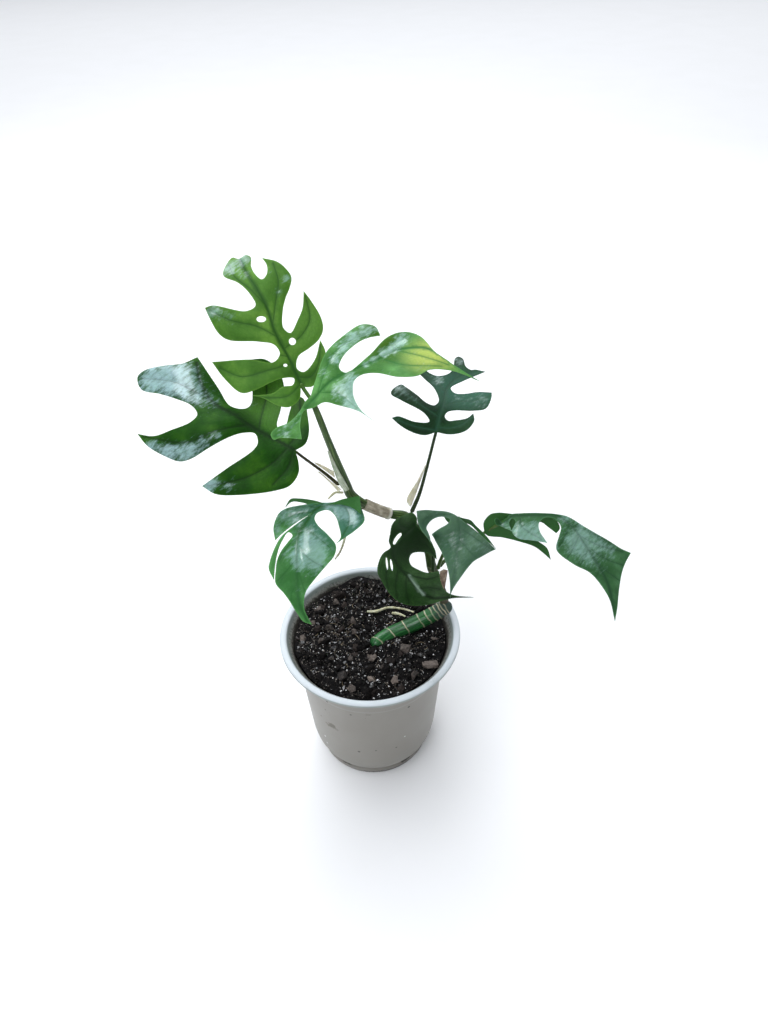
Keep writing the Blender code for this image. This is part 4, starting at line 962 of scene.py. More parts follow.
LEAF_D = {
    "seat": (47, 40, 264),
    "outline": [(0, 0, 1), (-7, -2), (-15, 0), (-23, 5), (-28, 10, 1), (-24, 11), (-13, 7), (-4, 7),
        (-7, 13), (-21, 22), (-28, 27), (-27, 30), (-21, 34), (-18, 32), (-11, 26), (-5, 20),
        (0, 18), (3, 21), (1, 31), (-6, 40), (-11, 48), (-6, 51), (-3, 45), (4, 41), (12, 43),
        (16, 48), (18, 56), (21, 58), (24, 56), (25, 50), (28, 47), (32, 47), (38, 45, 1), (31, 42),
        (21, 37), (12, 31), (14, 27), (20, 26), (29, 27), (38, 26, 1), (37, 22), (32, 14), (24, 13),
        (13, 14), (8, 13), (6, 10), (8, 7), (13, 7), (20, 8), (24, 11, 1), (24, 6), (19, 0),
        (13, -2), (7, -2)],
    "rib": [(0, 1), (3, 11), (6, 20), (9, 30), (16, 38), (26, 43), (36, 45)],
    "knots": [(0, 0, 0), (2, 18, -8), (8, 32, -22), (30, 38, -34), (14, 48, -40), (-28, 8, -2),
        (-24, 28, -14), (24, 12, 0), (34, 24, -10), (-8, 38, -26)],
    "veins": [[(0, 1), (-10, 3), (-19, 6), (-26, 9.5)], [(2, 10), (-8, 18), (-18, 26), (-24, 31)],
        [(8, 27), (4, 35), (-3, 42), (-8, 49)], [(14, 36), (19, 44), (21, 55)],
        [(5, 17), (16, 20), (27, 20), (36, 23)], [(1, 3), (9, 2), (17, 4), (23, 9)]],
    "gloss_and_painted_sheen": [(4, 38, 5, 0.6), (29, 20, 8, 0.35), (16, 23, 6, 0.25), (-22, 29, 6, 0.6),
        (-12, 22, 5, 0.3), (20, 54, 5, 0.5), (-8, 49, 4, 0.4), (-24, 8, 4, 0.25)],
    "stalk": [(30.3, 20.4, 212.7), (36, 26, 224.5), (42, 34, 244.5), (45.6, 39, 258)],
    "stalk_radii": [1.5, 1.1, 1.0, 1.0, 1.0, 0.9, 0.7],
}
LEAF_E = {
    "seat": (-4, 9, 236),
    "outline": [(1, 0, 1), (2, -5), (4, -14), (-2, -20), (-8, -24), (-14, -28, 1), (-11, -24),
        (-12, -17), (-14, -11), (-18, -7), (-22, -7), (-26, -9), (-27, -12), (-25, -16), (-19, -22),
        (-14, -29), (-15, -35), (-20, -41), (-28, -50), (-33, -57), (-34, -67), (-30, -77, 1),
        (-35, -75), (-38, -71), (-43, -63), (-47, -58), (-53, -52), (-53, -44), (-52, -38),
        (-49, -32), (-44, -26), (-41, -22), (-44, -20), (-48, -25), (-51, -31), (-53.2, -39),
        (-54, -44), (-54.3, -50, 1), (-58, -43), (-57, -38), (-53, -29), (-48.5, -22.5), (-40, -16),
        (-29, -8.5, 1), (-40, -15), (-49, -21.5), (-53, -25, 1), (-54, -17), (-50, -8), (-45, -5),
        (-34, -3), (-25, -2), (-17, -2), (-10, -1)],
    "rib": [(0, -1), (-11, -2), (-18, -3.5), (-26, -6), (-32, -14), (-37, -23), (-38, -35),
        (-38, -49), (-37, -63), (-32, -76)],
    "knots": [(0, 0, 0), (-28, -6, 4), (-45, -8, 2), (-50, -22, 0), (-54, -42, -2), (-37, -36, 12),
        (-36, -60, 14), (-29, -78, 12), (-18, -32, 10), (3, -14, 4), (-14, -28, 8), (-26, -44, 10),
        (-47, -52, 6)],
    "more": [
        {"outline": [(-22, -2.2, 1), (-27, -0.6), (-38, 1.2), (-44, 1), (-47, -4, 1), (-43, -0.8),
             (-35, -1.6), (-28, -3.6)],
         "knots": [(-22, -2, 3), (-30, -2, 1), (-38, 0, -6), (-47, -3, -11), (-38, 2, -9)]},
        {"outline": [(-18, -3.2, 1), (-10, -0.4), (-4, 0.8), (1.2, 1.4, 1), (2, -4), (2, -10, 1),
             (-3, -6), (-9, -3.8)],
         "knots": [(-18, -3, 3.0), (-9, -2, 4.6), (0, 0, 3.7), (2, -10, 8), (-3, -6, 6)]}],
    "veins": [[(-10, -2), (-6, -9), (-6, -16), (-11, -25)], [(-34, -18), (-27, -22), (-18, -30)],
        [(-37, -28), (-31, -36), (-22, -42)], [(-38, -42), (-35, -52), (-32, -60)],
        [(-36, -22), (-44, -29), (-50, -38)], [(-38, -36), (-45, -44), (-51, -50)],
        [(-28, -8), (-40, -9), (-51, -16)], [(-24, -5), (-38, -4.5), (-48, -8)],
        [(-38, -52), (-42, -58), (-42, -62)]],
    "gloss_and_painted_sheen": [(-44, -9, 8, 0.7), (-32, -6, 6, 0.45), (-30, -27, 9, 1.0), (-36, -37, 7, 0.85),
        (-22, -34, 6, 0.6), (-27, -42, 6, 0.5), (-8, -7, 7, 0.95), (-50, -20, 5, 0.5),
        (-2, -14, 5, 0.55), (-18, -4, 5, 0.6), (-46, -34, 4, 0.3), (-38, -56, 5, 0.2)],
    "stalk": [(-3.8, 7.4, 236.7)],
    "stalk_radii": [1.1, 1.1, 1.1, 1.0, 1.0, 0.8, 0.7],
}
LEAF_F = {
    "seat": (32, -2, 222),
    "outline": [(1, 0, 1), (10, -11), (13, -17), (14, -23, 1), (9, -19), (4, -17.5), (-2, -18),
        (-4, -21), (-3, -26), (1, -29), (8, -32), (16, -31.5, 1), (17, -38), (20, -45), (26, -49),
        (40, -51, 1), (24, -51.6), (7, -56), (-3, -56), (-11, -53), (-17, -47), (-22, -38),
        (-25, -31), (-24, -24), (-21, -18), (-16, -14), (-17, -10), (-16, -5), (-15, 0), (-12, 4),
        (-6, 7), (-2, 8.2), (1, 5)],
    "holes": [(-11.6, -8.4, 1.5, 4.4, -0.6), (-18.6, -25, 0.7, 4.4, 0.06),
              (-15.6, -26, 0.8, 4.2, 0.12)],
    "rib": [(0, 0), (-9, -8), (-14, -17), (-12, -25), (-5, -34), (2, -43), (10, -49.5), (24, -50.6),
        (38, -51)],
    "knots": [(0, 0, 0), (-13, -17, -8), (12, -22, -14), (-10, -8, -2), (-3, -34, -20),
        (9, -46, -30), (22, -46, -36), (38, -50, -38), (16, -32, -26), (-21, -28, -22),
        (-12, -44, -32), (6, -51, -38), (-15, 2, -4), (0, 8, -1), (8, -10, -6)],
    "veins": [[(0, 0), (3, -8), (8, -14), (13, -21)], [(-9, -29), (0, -34), (8, -36), (15, -35)],
        [(-13, -19), (-19, -31), (-18, -43)], [(-11, -27), (-13, -40), (-12, -50)],
        [(-6, -33), (-6, -44), (-4, -54)], [(-4, -3), (-10, 1), (-9, 5)],
        [(2, -43), (8, -42), (17, -44)]],
    "gloss_and_painted_sheen": [(-12, 3, 4, 0.25), (-20, -24, 4, 0.15)],
    "mark": [(-4, -33), (-1, -38), (3, -44), (6, -47.5)],
    "stalk": [(45.9, 17.2, 161.0), (45.6, 13.8, 174.0), (43.0, 8.0, 196.0), (36.5, 2, 211.5)],
    "stalk_radii": [1.4, 1.2, 1.1, 1.0, 1.0, 1.0, 1.0, 0.9, 0.8, 0.7],
}
LEAF_G = {
    "seat": (33, 2, 228),
    "outline": [(0, 2, 1), (6, 2.4), (12, 1.8), (19, 1), (24, -1), (29, -5), (34, -9), (41, -15),
        (50, -24, 1), (47, -25), (40, -28), (34, -31), (25, -41), (20, -49), (19, -54, 1),
        (19, -42), (18, -34), (15, -24), (9, -13, 1), (14, -10), (20, -6.4), (21, -4), (16, -2.2),
        (10, -4), (6, -9), (7, -12), (9, -19, 1), (5.4, -14), (2.4, -10), (0.6, -5)],
    "rib": [(26.6, -3.4), (27.2, -9), (27, -16), (24.6, -26), (22, -38), (19.6, -52)],
    "knots": [(0, 0, 0), (9, -19, -6), (10, -10, -3), (20, 1, -2), (28, -3, 0), (9, -14, 4),
        (52, -24, -6), (22, -50, 10), (30, -28, 6), (20, -34, 8), (40, -34, 4)],
    "more": [
        {"outline": [(24, -2, 1), (30, -3.6), (35, -5), (39, -9), (44, -14), (51, -24, 1),
             (42, -15), (35, -8.2), (30, -6.6), (26, -7.6), (21, -6.4), (18, -3), (17, 0, 1)],
         "knots": [(17, 0, -2.4), (24, -2, -1.6), (29, -4.4, -2), (36, -5, -9), (50, -21, -9),
             (54, -25, -8), (21, -6, -7), (40, -12, -13)]}],
    "veins": [[(27, -9), (36, -16), (47, -24)], [(27, -17), (32, -24), (37, -29)],
        [(27, -11), (20, -14), (12, -13)], [(26, -20), (20, -24), (16.5, -27)],
        [(24, -30), (21, -34), (19, -39)], [(22, -1), (12, -1), (4, -5), (7, -15)]],
    "gloss_and_painted_sheen": [(21, -18, 9, 0.35), (36, -18, 9, 0.4), (12, -1, 6, 0.35), (26, -34, 8, 0.25),
        (44, -24, 6, 0.3)],
    "stalk": [(49.5, 19.0, 161.4), (50.2, 17.2, 169.0), (55.0, 13.6, 191.0), (59, 7, 212)],
    "stalk_radii": [1.4, 1.2, 1.1, 1.0, 1.0, 1.0, 0.8, 0.7],
}
LEAF_H = {
    "seat": (91, 20, 201),
    "outline": [(1, 1, 1), (-3, 4.6), (-5, 3), (-4, 0), (-1, -1), (6, -4.6, 1), (5, 1), (7, 4),
        (9, 2), (6, -5), (9, -9), (20, -11), (28, -12.6, 1), (24, -5), (24, 0), (28, 3.6),
        (34, 3.4), (38, 0), (39, -3), (37, -8), (34, -17), (45, -27), (56, -33), (63, -41),
        (69, -52), (71, -65, 1), (74, -56), (77, -44), (82, -32), (90, -22, 1), (83, -19),
        (75, -14), (56, -3), (45, 4), (37, 6), (26, 7), (14, 7.2), (6, 6.4)],
    "rib": [(1, 1.8), (6, 5), (15, 5.6), (26, 5.4), (37, 4.8), (47, -3), (55, -15), (63, -29),
        (69, -43), (71, -62)],
    "knots": [(0, 0, 0), (6, 5, 2), (-6, 0, 5), (7, -5, 8), (14, -10, 10), (31, -12, 12),
        (24, 8, 2), (38, 7, 0), (38, -15, 10), (56, -4, 0), (83, -20, -8), (76, -64, 10),
        (60, -26, 6), (68, -42, 8), (48, -6, 4)],
    "more": [
        {"outline": [(-11, -2), (-11, 2), (-7, 7), (-2, 8), (4, 7.4), (10, 6.6), (20, 6.4), (30, 5),
             (38, 1), (40, -4), (38, -7, 1), (33, -3), (27, 1), (20, -1), (20, -7), (26, -12),
             (32, -17), (34, -25, 1), (29, -20), (24, -16), (13, -12), (2, -9), (-9, -7)],
         "knots": [(0, 6, 0), (12, 6, 1.6), (26, 6, 1.4), (-11, 0, -6), (-8, -6, -8),
             (12, -10, -10), (30, -14, -9), (34, -24, -6), (26, 1, -3), (38, -4, -4)]}],
    "veins": [[(43, 0), (58, -6), (75, -15)], [(50, -8), (63, -15), (83, -21)],
        [(55, -15), (67, -24), (82, -30)], [(62, -27), (70, -34), (78, -40)],
        [(45, -1), (41, -9), (36, -15)], [(51, -9), (46, -17), (41, -23)],
        [(57, -18), (52, -25), (49, -29)], [(64, -31), (61, -35), (60, -36)],
        [(12, 5), (13, -2), (24, -10)], [(2, 3), (-2, 2), (2, -2)]],
    "gloss_and_painted_sheen": [(52, -9, 9, 0.8), (46, -16, 8, 0.55), (62, -14, 9, 0.5), (74, -19, 8, 0.4),
        (56, -24, 8, 0.4), (12, -6, 7, 0.9), (22, -5, 7, 0.9), (29, -13, 6, 0.8), (42, 3, 6, 0.5),
        (66, -32, 7, 0.2), (2, -1, 5, 0.5)],
    "stalk": [(50.35, 23.3, 158.7), (54.8, 24.4, 164.2), (65, 25, 172.5), (81, 24, 190.5)],
    "stalk_radii": [1.4, 1.2, 1.1, 1.1, 1.1, 1.0, 1.0, 0.9, 0.8, 0.7],
}


def closed_outline(points, step):
    first = next(i for i, p in enumerate(points) if len(p) > 2)
    turned = points[first:] + points[:first] + [points[first]]
    out = []
    run = [turned[0][:2]]
    for p in turned[1:]:
        run.append(p[:2])
        if len(p) > 2:
            out.extend(smooth_run(run, step)[:-1])
            run = [p[:2]]
    return np.array(out)


def oval(cx, cy, rx, ry, turn):
    a = np.arange(HOLE_POINTS) * 2 * math.pi / HOLE_POINTS
    x = rx * np.cos(a)
    y = ry * np.sin(a)
    return np.c_[cx + x * math.cos(turn) - y * math.sin(turn),
                 cy + x * math.sin(turn) + y * math.cos(turn)]


def height_field(knots):
    # a thin plate through a few heights gives the blade its natural bend
    c = np.array(knots, float)
    n = len(c)

    def kernel(pts):
        r = np.hypot(pts[:, None, 0] - c[None, :, 0], pts[:, None, 1] - c[None, :, 1])
        return r * r * np.log(np.maximum(r, 1e-9))

    system = np.zeros((n + 3, n + 3))
    plane = np.c_[np.ones(n), c[:, :2]]
    system[:n, :n] = kernel(c)
    system[:n, n:] = plane
    system[n:, :n] = plane.T
    weights = np.linalg.solve(system, np.r_[c[:, 2], 0, 0, 0])
    return lambda pts: kernel(pts) @ weights[:n] + weights[n] + pts @ weights[n + 1:]


def blade_normals(height, pts):
    d = 0.5
    sx = (height(pts + (d, 0)) - height(pts - (d, 0))) / (2 * d)
    sy = (height(pts + (0, d)) - height(pts - (0, d))) / (2 * d)
    n = BOARD_OUT[None] - sx[:, None] * BOARD_RIGHT - sy[:, None] * BOARD_UP
    return n / np.linalg.norm(n, axis=1)[:, None]


def on_board(seat, pts, out):
    flat = np.array(seat, float) + pts[:, :1] * BOARD_RIGHT + pts[:, 1:2] * BOARD_UP
    return flat + out[:, None] * BOARD_OUT


def inside(loop, pts):
    hit = np.zeros(len(pts), bool)
    for (xi, yi), (xj, yj) in zip(loop, np.roll(loop, 1, axis=0)):
        if yi != yj:
            cross = ((yi > pts[:, 1]) != (yj > pts[:, 1]))
            hit ^= cross & (pts[:, 0] < (xj - xi) * (pts[:, 1] - yi) / (yj - yi) + xi)
    return hit


def distance(runs, pts, closed=False):
    # shortest way from each point to any of the runs
    best = np.full(len(pts), 1e9)
    for run in runs:
        start, end = (run, np.roll(run, -1, axis=0)) if closed else (run[:-1], run[1:])
        for (ax, ay), (bx, by) in zip(start, end):
            dx, dy = bx - ax, by - ay
            t = (pts[:, 0] - ax) * dx + (pts[:, 1] - ay) * dy
            t = np.clip(t / max(dx * dx + dy * dy, 1e-12), 0, 1)
            gap = np.hypot(pts[:, 0] - ax - t * dx, pts[:, 1] - ay - t * dy)
            best = np.minimum(best, gap)
    return best


def offset_rows(run, gap):
    # the run itself and a row on either side of it
    along = np.gradient(run, axis=0)
    along /= np.linalg.norm(along, axis=1)[:, None]
    side = np.c_[-along[:, 1], along[:, 0]]
    return np.vstack([run, run + side * gap, run - side * gap])


def blade_points(outline, holes, runs):
    # edge points first, then rows along the veins, then an even grid
    loops = [outline] + holes
    low = outline.min(axis=0)
    high = outline.max(axis=0)
    grid = []
    for r, y in enumerate(np.arange(low[1], high[1], GRID_STEP * 0.866)):
        for x in np.arange(low[0] + (GRID_STEP / 2 if r % 2 else 0), high[0], GRID_STEP):
            grid.append((x, y))
    free = np.array(grid)
    if runs:
        free = free[distance(runs, free) > VEIN_CLEAR]
        free = np.vstack([offset_rows(run, VEIN_ROW) for run in runs] + [free])
    free = free[inside(outline, free)]
    for hole in holes:
        free = free[~inside(hole, free)]
    free = free[distance(loops, free, True) > EDGE_CLEAR]
    edges = []
    count = 0
    for loop in loops:
        edges += [(count + i, count + (i + 1) % len(loop)) for i in range(len(loop))]
        count += len(loop)
    return np.vstack(loops + [free]), edges, loops


def ridges(shapes, gaps):
    # one line along the side veins and one along the midrib
    return [size * np.exp(-(gap / reach) ** 2) for (size, reach), gap in zip(shapes, gaps)]


def ripples(pts, pitch, seed):
    return np.array([noise.noise(Vector((x / pitch, y / pitch, seed))) for x, y in pts])


def gloss_and_painted_sheen_values(spots, pts, seed):
    out = np.zeros(len(pts))
    for x, y, reach, strength in spots:
        out += strength * np.exp(-((pts[:, 0] - x) ** 2 + (pts[:, 1] - y) ** 2) / reach ** 2)
    patchy = ripples(pts, SHINE_PITCH, seed + 30.0)
    return np.clip(np.minimum(out, SHINE_MOST) * (1.0 + SHINE_PATCHY * patchy), 0.0, 1.0)


def blade(seat, shape, quilt, seed, folded):
    # both sides of a thin sheet, closed along its edge; a folded part shows its underside
    edge = closed_outline(shape["outline"], EDGE_STEP)
    rounds = [oval(*h) for h in shape.get("holes", [])]
    height = height_field(shape["knots"])
    lines = [shape["rib"]] + shape["veins"] if "rib" in shape else []
    runs = [smooth_run(line, VEIN_STEP) for line in lines]
    pts, edges, loops = blade_points(edge, rounds, runs)
    result = delaunay_2d_cdt([Vector(p) for p in pts], edges, [], 0, 1e-5)
    pts = np.array([(v.x, v.y) for v in result[0]])
    tris = np.array([t for t in result[2]])
    middle = pts[tris].mean(axis=1)
    keep = inside(edge, middle)
    for ring in rounds:
        keep &= ~inside(ring, middle)
    tris = tris[keep].tolist()
    count = len(pts)
    none = np.zeros(count)
    gaps = [none + NO_VEIN, none + NO_VEIN]
    if runs:
        gaps = [distance(runs, pts), distance(runs[:1], pts)]
    rim = distance(loops, pts, True)
    pillow = quilt * (1 - np.exp(-(gaps[0] / QUILT_REACH) ** 2)) * np.clip(rim / QUILT_FROM, 0, 1)
    relief = pillow - sum(ridges(GROOVES, gaps))
    waves = RIPPLE * ripples(pts, RIPPLE_PITCH, seed)
    lift = height(pts) + (-1 if folded else 1) * relief + waves
    thick = BLADE_EDGE + (BLADE_MIDDLE - BLADE_EDGE) * np.clip(rim / THICK_FROM, 0, 1)
    keel = sum(ridges(KEELS, gaps)) * np.clip(rim / KEEL_FROM, 0, 1)
    place = on_board(seat, pts, lift)
    normal = blade_normals(height, pts)
    top = place + normal * (thick / 2 + (keel if folded else 0))[:, None]
    low = place - normal * (thick / 2 + (0 if folded else keel))[:, None]
    faces = [tuple(t) for t in tris] + [tuple(count + i for i in reversed(t)) for t in tris]
    used = {(a, b) for t in tris for a, b in zip(t, t[1:] + t[:1])}
    faces += [(a, count + a, count + b, b) for a, b in sorted(used) if (b, a) not in used]
    vein = np.maximum(*ridges(VEIN_LINES, gaps))
    # the sheen spots: where the wax glosses, and where a pale sheen is painted into the colour
    gloss_and_painted_sheen = gloss_and_painted_sheen_values(shape.get("gloss_and_painted_sheen", []), pts, seed)
    midrib_pale_line = none
    if "mark" in shape:
        line = smooth_run(shape["mark"], 1.0)
        midrib_pale_line = np.exp(-(distance([line], pts) / MARK_REACH) ** 2)
    upper = np.repeat([0.0, 1.0] if folded else [1.0, 0.0], count)
    values = {"vein": np.r_[vein, vein], "upper": upper, "rim": np.r_[rim, rim],
              "board": np.vstack([np.c_[pts, gaps[0]]] * 2), "stalk": np.r_[none, none],
              "gloss_and_painted_sheen": np.r_[gloss_and_painted_sheen, SHINE_BELOW * gloss_and_painted_sheen], "mark": np.r_[midrib_pale_line, none]}
    return np.vstack([top, low]), faces, values


def leaf(name, spec, mat, quilt, seed):
    # blade, folded parts, stalk and midrib, all in one piece as they grew
    seat = spec["seat"]
    parts = [blade(seat, spec, quilt, seed, False)]
    parts += [blade(seat, more, quilt, seed + 0.5, True) for more in spec.get("more", [])]
    height = height_field(spec["knots"])
    rib = np.array(spec["rib"], float)
    rib = rib[:max(2, int(round(len(rib) * RIB_SHARE)))]
    rib_points = on_board(seat, rib, height(rib)) - blade_normals(height, rib) * RIB_DROP
    stalk = [np.array(p, float) for p in spec["stalk"]]
    verts, faces, skin = tube(stalk + list(rib_points), spec["stalk_radii"], STALK_SIDES,
                              STALK_STEP)
    count = len(verts)
    free_run = sum(np.linalg.norm(b - a) for a, b in zip(stalk, stalk[1:] + [rib_points[0]]))
    free = np.clip((free_run + 1.0 - skin[:, 0]) / STALK_FADES, 0.0, 1.0)
    none = np.zeros(count)
    parts.append((verts, faces, {
        "vein": none + STALK_VEIN, "upper": none, "rim": none + NO_RIM, "board": skin,
        "stalk": free, "gloss_and_painted_sheen": none + STALK_SHINE, "mark": none}))
    all_verts = []
    all_faces = []
    for verts, faces, _ in parts:
        all_faces.extend([tuple(len(all_verts) + i for i in f) for f in faces])
        all_verts.extend(verts)
    values = {key: np.concatenate([part[2][key] for part in parts]) for key in parts[0][2]}
    new_piece(name + "_blade", all_verts, all_faces, mat, [name], sharp=50.0, values=values)


def leaf_material(name, tones, vein_tone, under, stalk_tone, painted_sheen_tone, painted_sheen_strength, ribs, lines, patches=()):
    # a waxed leaf: three greens in broad clouds, netted veins, darker main veins, a paler
    # underside and rim; the sheen colour and strength paint a sheen, a painted reflection; ribs and
    # lines how strong the fine ribs stand out and how dark the lines between them are
    plain, bright = tones[1:]
    mat, place = new_material(name, plain)
    clouded = clouds(mat, place, 55.0, 3.0)
    tone = three_tones(mat, clouded, tones, (0.33, 0.52, 0.70))
    # parts with a colour of their own, or with painted light, shade or sheen: middle, where it
    # begins to fade, where it ends, colour
    for middle, fade, end, own_or_painted_tone in patches:
        near = remap(mat, vector_maths(mat, "DISTANCE", place, middle), fade, end, 1.0, 0.0,
                     interpolation_type="SMOOTHSTEP")
        tone = mix(mat, near, tone, own_or_painted_tone)
    # the finest net of veins, drawn at 2.6 mm so that it still shows
    board = kept(mat, "board", "Vector")
    flat = vector_maths(mat, "MULTIPLY", board, (1.0, 1.0, 0.0))
    net = add(mat, "ShaderNodeTexVoronoi", {"Vector": flat, "Scale": 1 / 2.6},
              feature="DISTANCE_TO_EDGE")
    net_line = remap(mat, net.outputs["Distance"], 0.0, 0.16, 1.0, 0.0)
    # faint ribs about 2 mm apart run beside the main veins
    from_vein = add(mat, "ShaderNodeSeparateXYZ", {"Vector": board}).outputs["Z"]
    bent = maths(mat, "MULTIPLY_ADD", clouds(mat, flat, 0.16), 7.0, from_vein)
    rib_height = maths(mat, "SINE", maths(mat, "MULTIPLY", bent, 3.1))
    line_part = remap(mat, rib_height, -0.9, -0.2, lines, 0.0)
    tone = mix(mat, maths(mat, "MULTIPLY_ADD", net_line, 0.14, line_part), tone, vein_tone)
    # main veins and the pale edge, from the values kept on the mesh
    vein = kept(mat, "vein")
    tone = mix(mat, vein, tone, vein_tone)
    tone = mix(mat, remap(mat, kept(mat, "rim"), 0.1, 0.9, 0.5, 0.0), tone, bright)
    # the wax gloss breaks up into slanting flecks about 2 mm long and thins out at its edge; where
    # it lies, a pale sheen is painted into the colour, a painted reflection
    turned = add(mat, "ShaderNodeVectorRotate", {"Vector": flat, "Angle": -0.6},
                 rotation_type="Z_AXIS").outputs["Vector"]
    stretched = vector_maths(mat, "MULTIPLY", turned, (0.22, 0.55, 0.0))
    flecks = clouds(mat, stretched, 1.0, 8.0, 0.7)
    worn = maths(mat, "MULTIPLY_ADD", flecks, 1.6, kept(mat, "gloss_and_painted_sheen"))
    gloss_and_painted_sheen_mask = remap(mat, worn, 0.99, 1.70, interpolation_type="SMOOTHSTEP")
    fine = remap(mat, flecks, 0.38, 0.62, 0.70 * painted_sheen_strength, 1.12 * painted_sheen_strength)
    tone = mix(mat, maths(mat, "MULTIPLY", gloss_and_painted_sheen_mask, fine), tone, painted_sheen_tone)
    # the main veins lie in grooves, so they are drawn darker again over the painted sheen and show
    # through it
    tone = mix(mat, maths(mat, "MULTIPLY", vein, 0.45), tone, vein_tone)
    # a pale line along leaf F's midrib, where "mark" is 1
    tone = mix(mat, maths(mat, "MULTIPLY", kept(mat, "mark"), 0.75), tone, "#9db7a2")
    # the underside is matt, clouded, and its raised veins are paler
    below = mix(mat, 0.5, under, mix(mat, clouded, under, plain))
    below = mix(mat, maths(mat, "MULTIPLY", vein, 0.55), below, bright)
    tone = mix(mat, kept(mat, "upper"), below, tone)
    tone = mix(mat, kept(mat, "stalk"), tone, stalk_tone)
    normal = bump(mat, rib_height, ribs, 0.0003)
    normal = bump(mat, net_line, 0.10, 0.0003, normal, invert=True)
    normal = bump(mat, clouds(mat, place, 1600.0), 0.08, 0.0002, normal)
    set_surface(mat, {"Base Color": tone, "Roughness": 0.55, "IOR": 1.45, "Normal": normal,
                      "Specular IOR Level": 0.15, "Coat Weight": gloss_and_painted_sheen_mask, "Coat Roughness": 0.2,
                      "Coat IOR": 1.7, "Subsurface Weight": 0.15,
                      "Subsurface Radius": (0.5, 1.0, 0.2), "Subsurface Scale": 0.0006})
    return mat


# monstera leaf, grown and waxed: fresh yellow green, smooth and satin, with a painted sheen only at
# its tip
bright_leaf = leaf_material(
    "leaf_waxed_fresh_green", ("#366419", "#4e7e2a", "#689838"), "#28521a", "#6f9650", "#3a5a22",
    painted_sheen_tone="#a4d0c2", painted_sheen_strength=0.46, ribs=0.06, lines=0.03,
    patches=[((-0.024, 0.068, 0.322), 0.008, 0.030, "#5a8a34")])
# the same, older: deep green, quilted, with a painted blue white sheen on the outer lobes; its
# right lobes are painted lighter green, painted light where leaf A shades them
left_leaf = leaf_material(
    "leaf_waxed_deep_quilted", ("#0d3800", "#194a02", "#346410"), "#0a2c02", "#55803c", "#38371f",
    painted_sheen_tone="#b2d8da", painted_sheen_strength=0.58, ribs=0.10, lines=0.04,
    patches=[((-0.052, 0.050, 0.290), 0.010, 0.036, "#3d6e16")])
# leaf C has a yellow green patch on its outer half, painted light standing for light shining
# through it
backlit_leaf = leaf_material(
    "leaf_waxed_painted_backlight", ("#356a2b", "#4a803c", "#649f54"), "#2f6a2c", "#6f9650", "#4b5a2a",
    painted_sheen_tone="#b8e0d4", painted_sheen_strength=0.60, ribs=0.08, lines=0.03,
    patches=[((0.012, 0.062, 0.315), 0.007, 0.021, "#3c6610"),
             ((0.044, 0.052, 0.311), 0.005, 0.024, "#a3b552")])
# small, old and hard: dark blue green, nearly dull; the blue green patch on its upper part is
# painted sheen
dark_leaf = leaf_material(
    "leaf_waxed_dark_small", ("#062409", "#0d3212", "#1a4823"), "#234a34", "#2a5138", "#2c3a22",
    painted_sheen_tone="#7aa99b", painted_sheen_strength=0.42, ribs=0.06, lines=0.03,
    patches=[((0.069, 0.074, 0.277), 0.010, 0.036, "#23543f")])
# in the shade of the others: dull green with fine darker lines, and painted shade darkest at its
# folded base
shade_leaf = leaf_material(
    "leaf_dull_shade_green", ("#1a3c12", "#2d4d24", "#436638"), "#0f270b", "#1c4a12", "#2f4423",
    painted_sheen_tone="#6f9078", painted_sheen_strength=0.30, ribs=0.12, lines=0.25,
    patches=[((0.026, -0.007, 0.213), 0.008, 0.026, "#0b2606")])
# blue green and quilted, with the broadest gloss and painted sheen; the blue green patch on its
# upper part is painted sheen too
bluish_leaf = leaf_material(
    "leaf_waxed_bluish_quilted", ("#336932", "#488244", "#5e9c56"), "#2b5f2c", "#2a5c25",
    "#3d5a2c", painted_sheen_tone="#a8d0cb", painted_sheen_strength=0.54, ribs=0.10, lines=0.03,
    patches=[((-0.018, 0.001, 0.235), 0.012, 0.034, "#487b63")])
# folded and satin: grey green with a hazy painted sheen
folded_leaf = leaf_material(
    "leaf_satin_grey_green", ("#35573e", "#49694f", "#5f8164"), "#3c5a44", "#2f5f28", "#48612f",
    painted_sheen_tone="#8fb3a6", painted_sheen_strength=0.35, ribs=0.05, lines=0.02)
# arched and satin: mid green, with a hazy painted sheen only where it bends over
arched_leaf = leaf_material(
    "leaf_satin_arched_green", ("#2c572e", "#3b663d", "#4f7f53"), "#284c2e", "#2f5f28", "#48612f",
    painted_sheen_tone="#8fb9aa", painted_sheen_strength=0.62, ribs=0.06, lines=0.03)

leaf("leaf_a", LEAF_A, bright_leaf, quilt=0.40, seed=1.0)
leaf("leaf_b", LEAF_B, left_leaf, quilt=0.65, seed=2.0)
leaf("leaf_c", LEAF_C, backlit_leaf, quilt=0.60, seed=3.0)
leaf("leaf_d", LEAF_D, dark_leaf, quilt=0.30, seed=4.0)
leaf("leaf_e", LEAF_E, bluish_leaf, quilt=0.75, seed=5.0)
leaf("leaf_f", LEAF_F, shade_leaf, quilt=0.35, seed=6.0)
leaf("leaf_g", LEAF_G, folded_leaf, quilt=0.35, seed=7.0)
leaf("leaf_h", LEAF_H, arched_leaf, quilt=0.45, seed=8.0)


# The dry sheaths: papery scales that wrapped the young leaves. They have dried cream, green grey or
# tan, with fine ribs along them, and still cling to the stalks and the vine.
SHEATH_THICK = 0.45
SHEATH_ALONG = 44
SHEATH_ACROSS = 15
# height and pitch of the ribs across the width, and the way between two rows for the fibres
SHEATH_RIB = 0.05
SHEATH_RIB_TURNS = 14.0
SHEATH_ROW = 0.6
# the sleeve: a dried scale that still wraps the vine where it lies over, between these places
SLEEVE_FROM, SLEEVE_TO = -4.4, 18.8
SLEEVE_INNER = 3.2
SLEEVE_OUTER = 3.75
SLEEVE_SIDES = 32
SLEEVE_STEP = 0.7
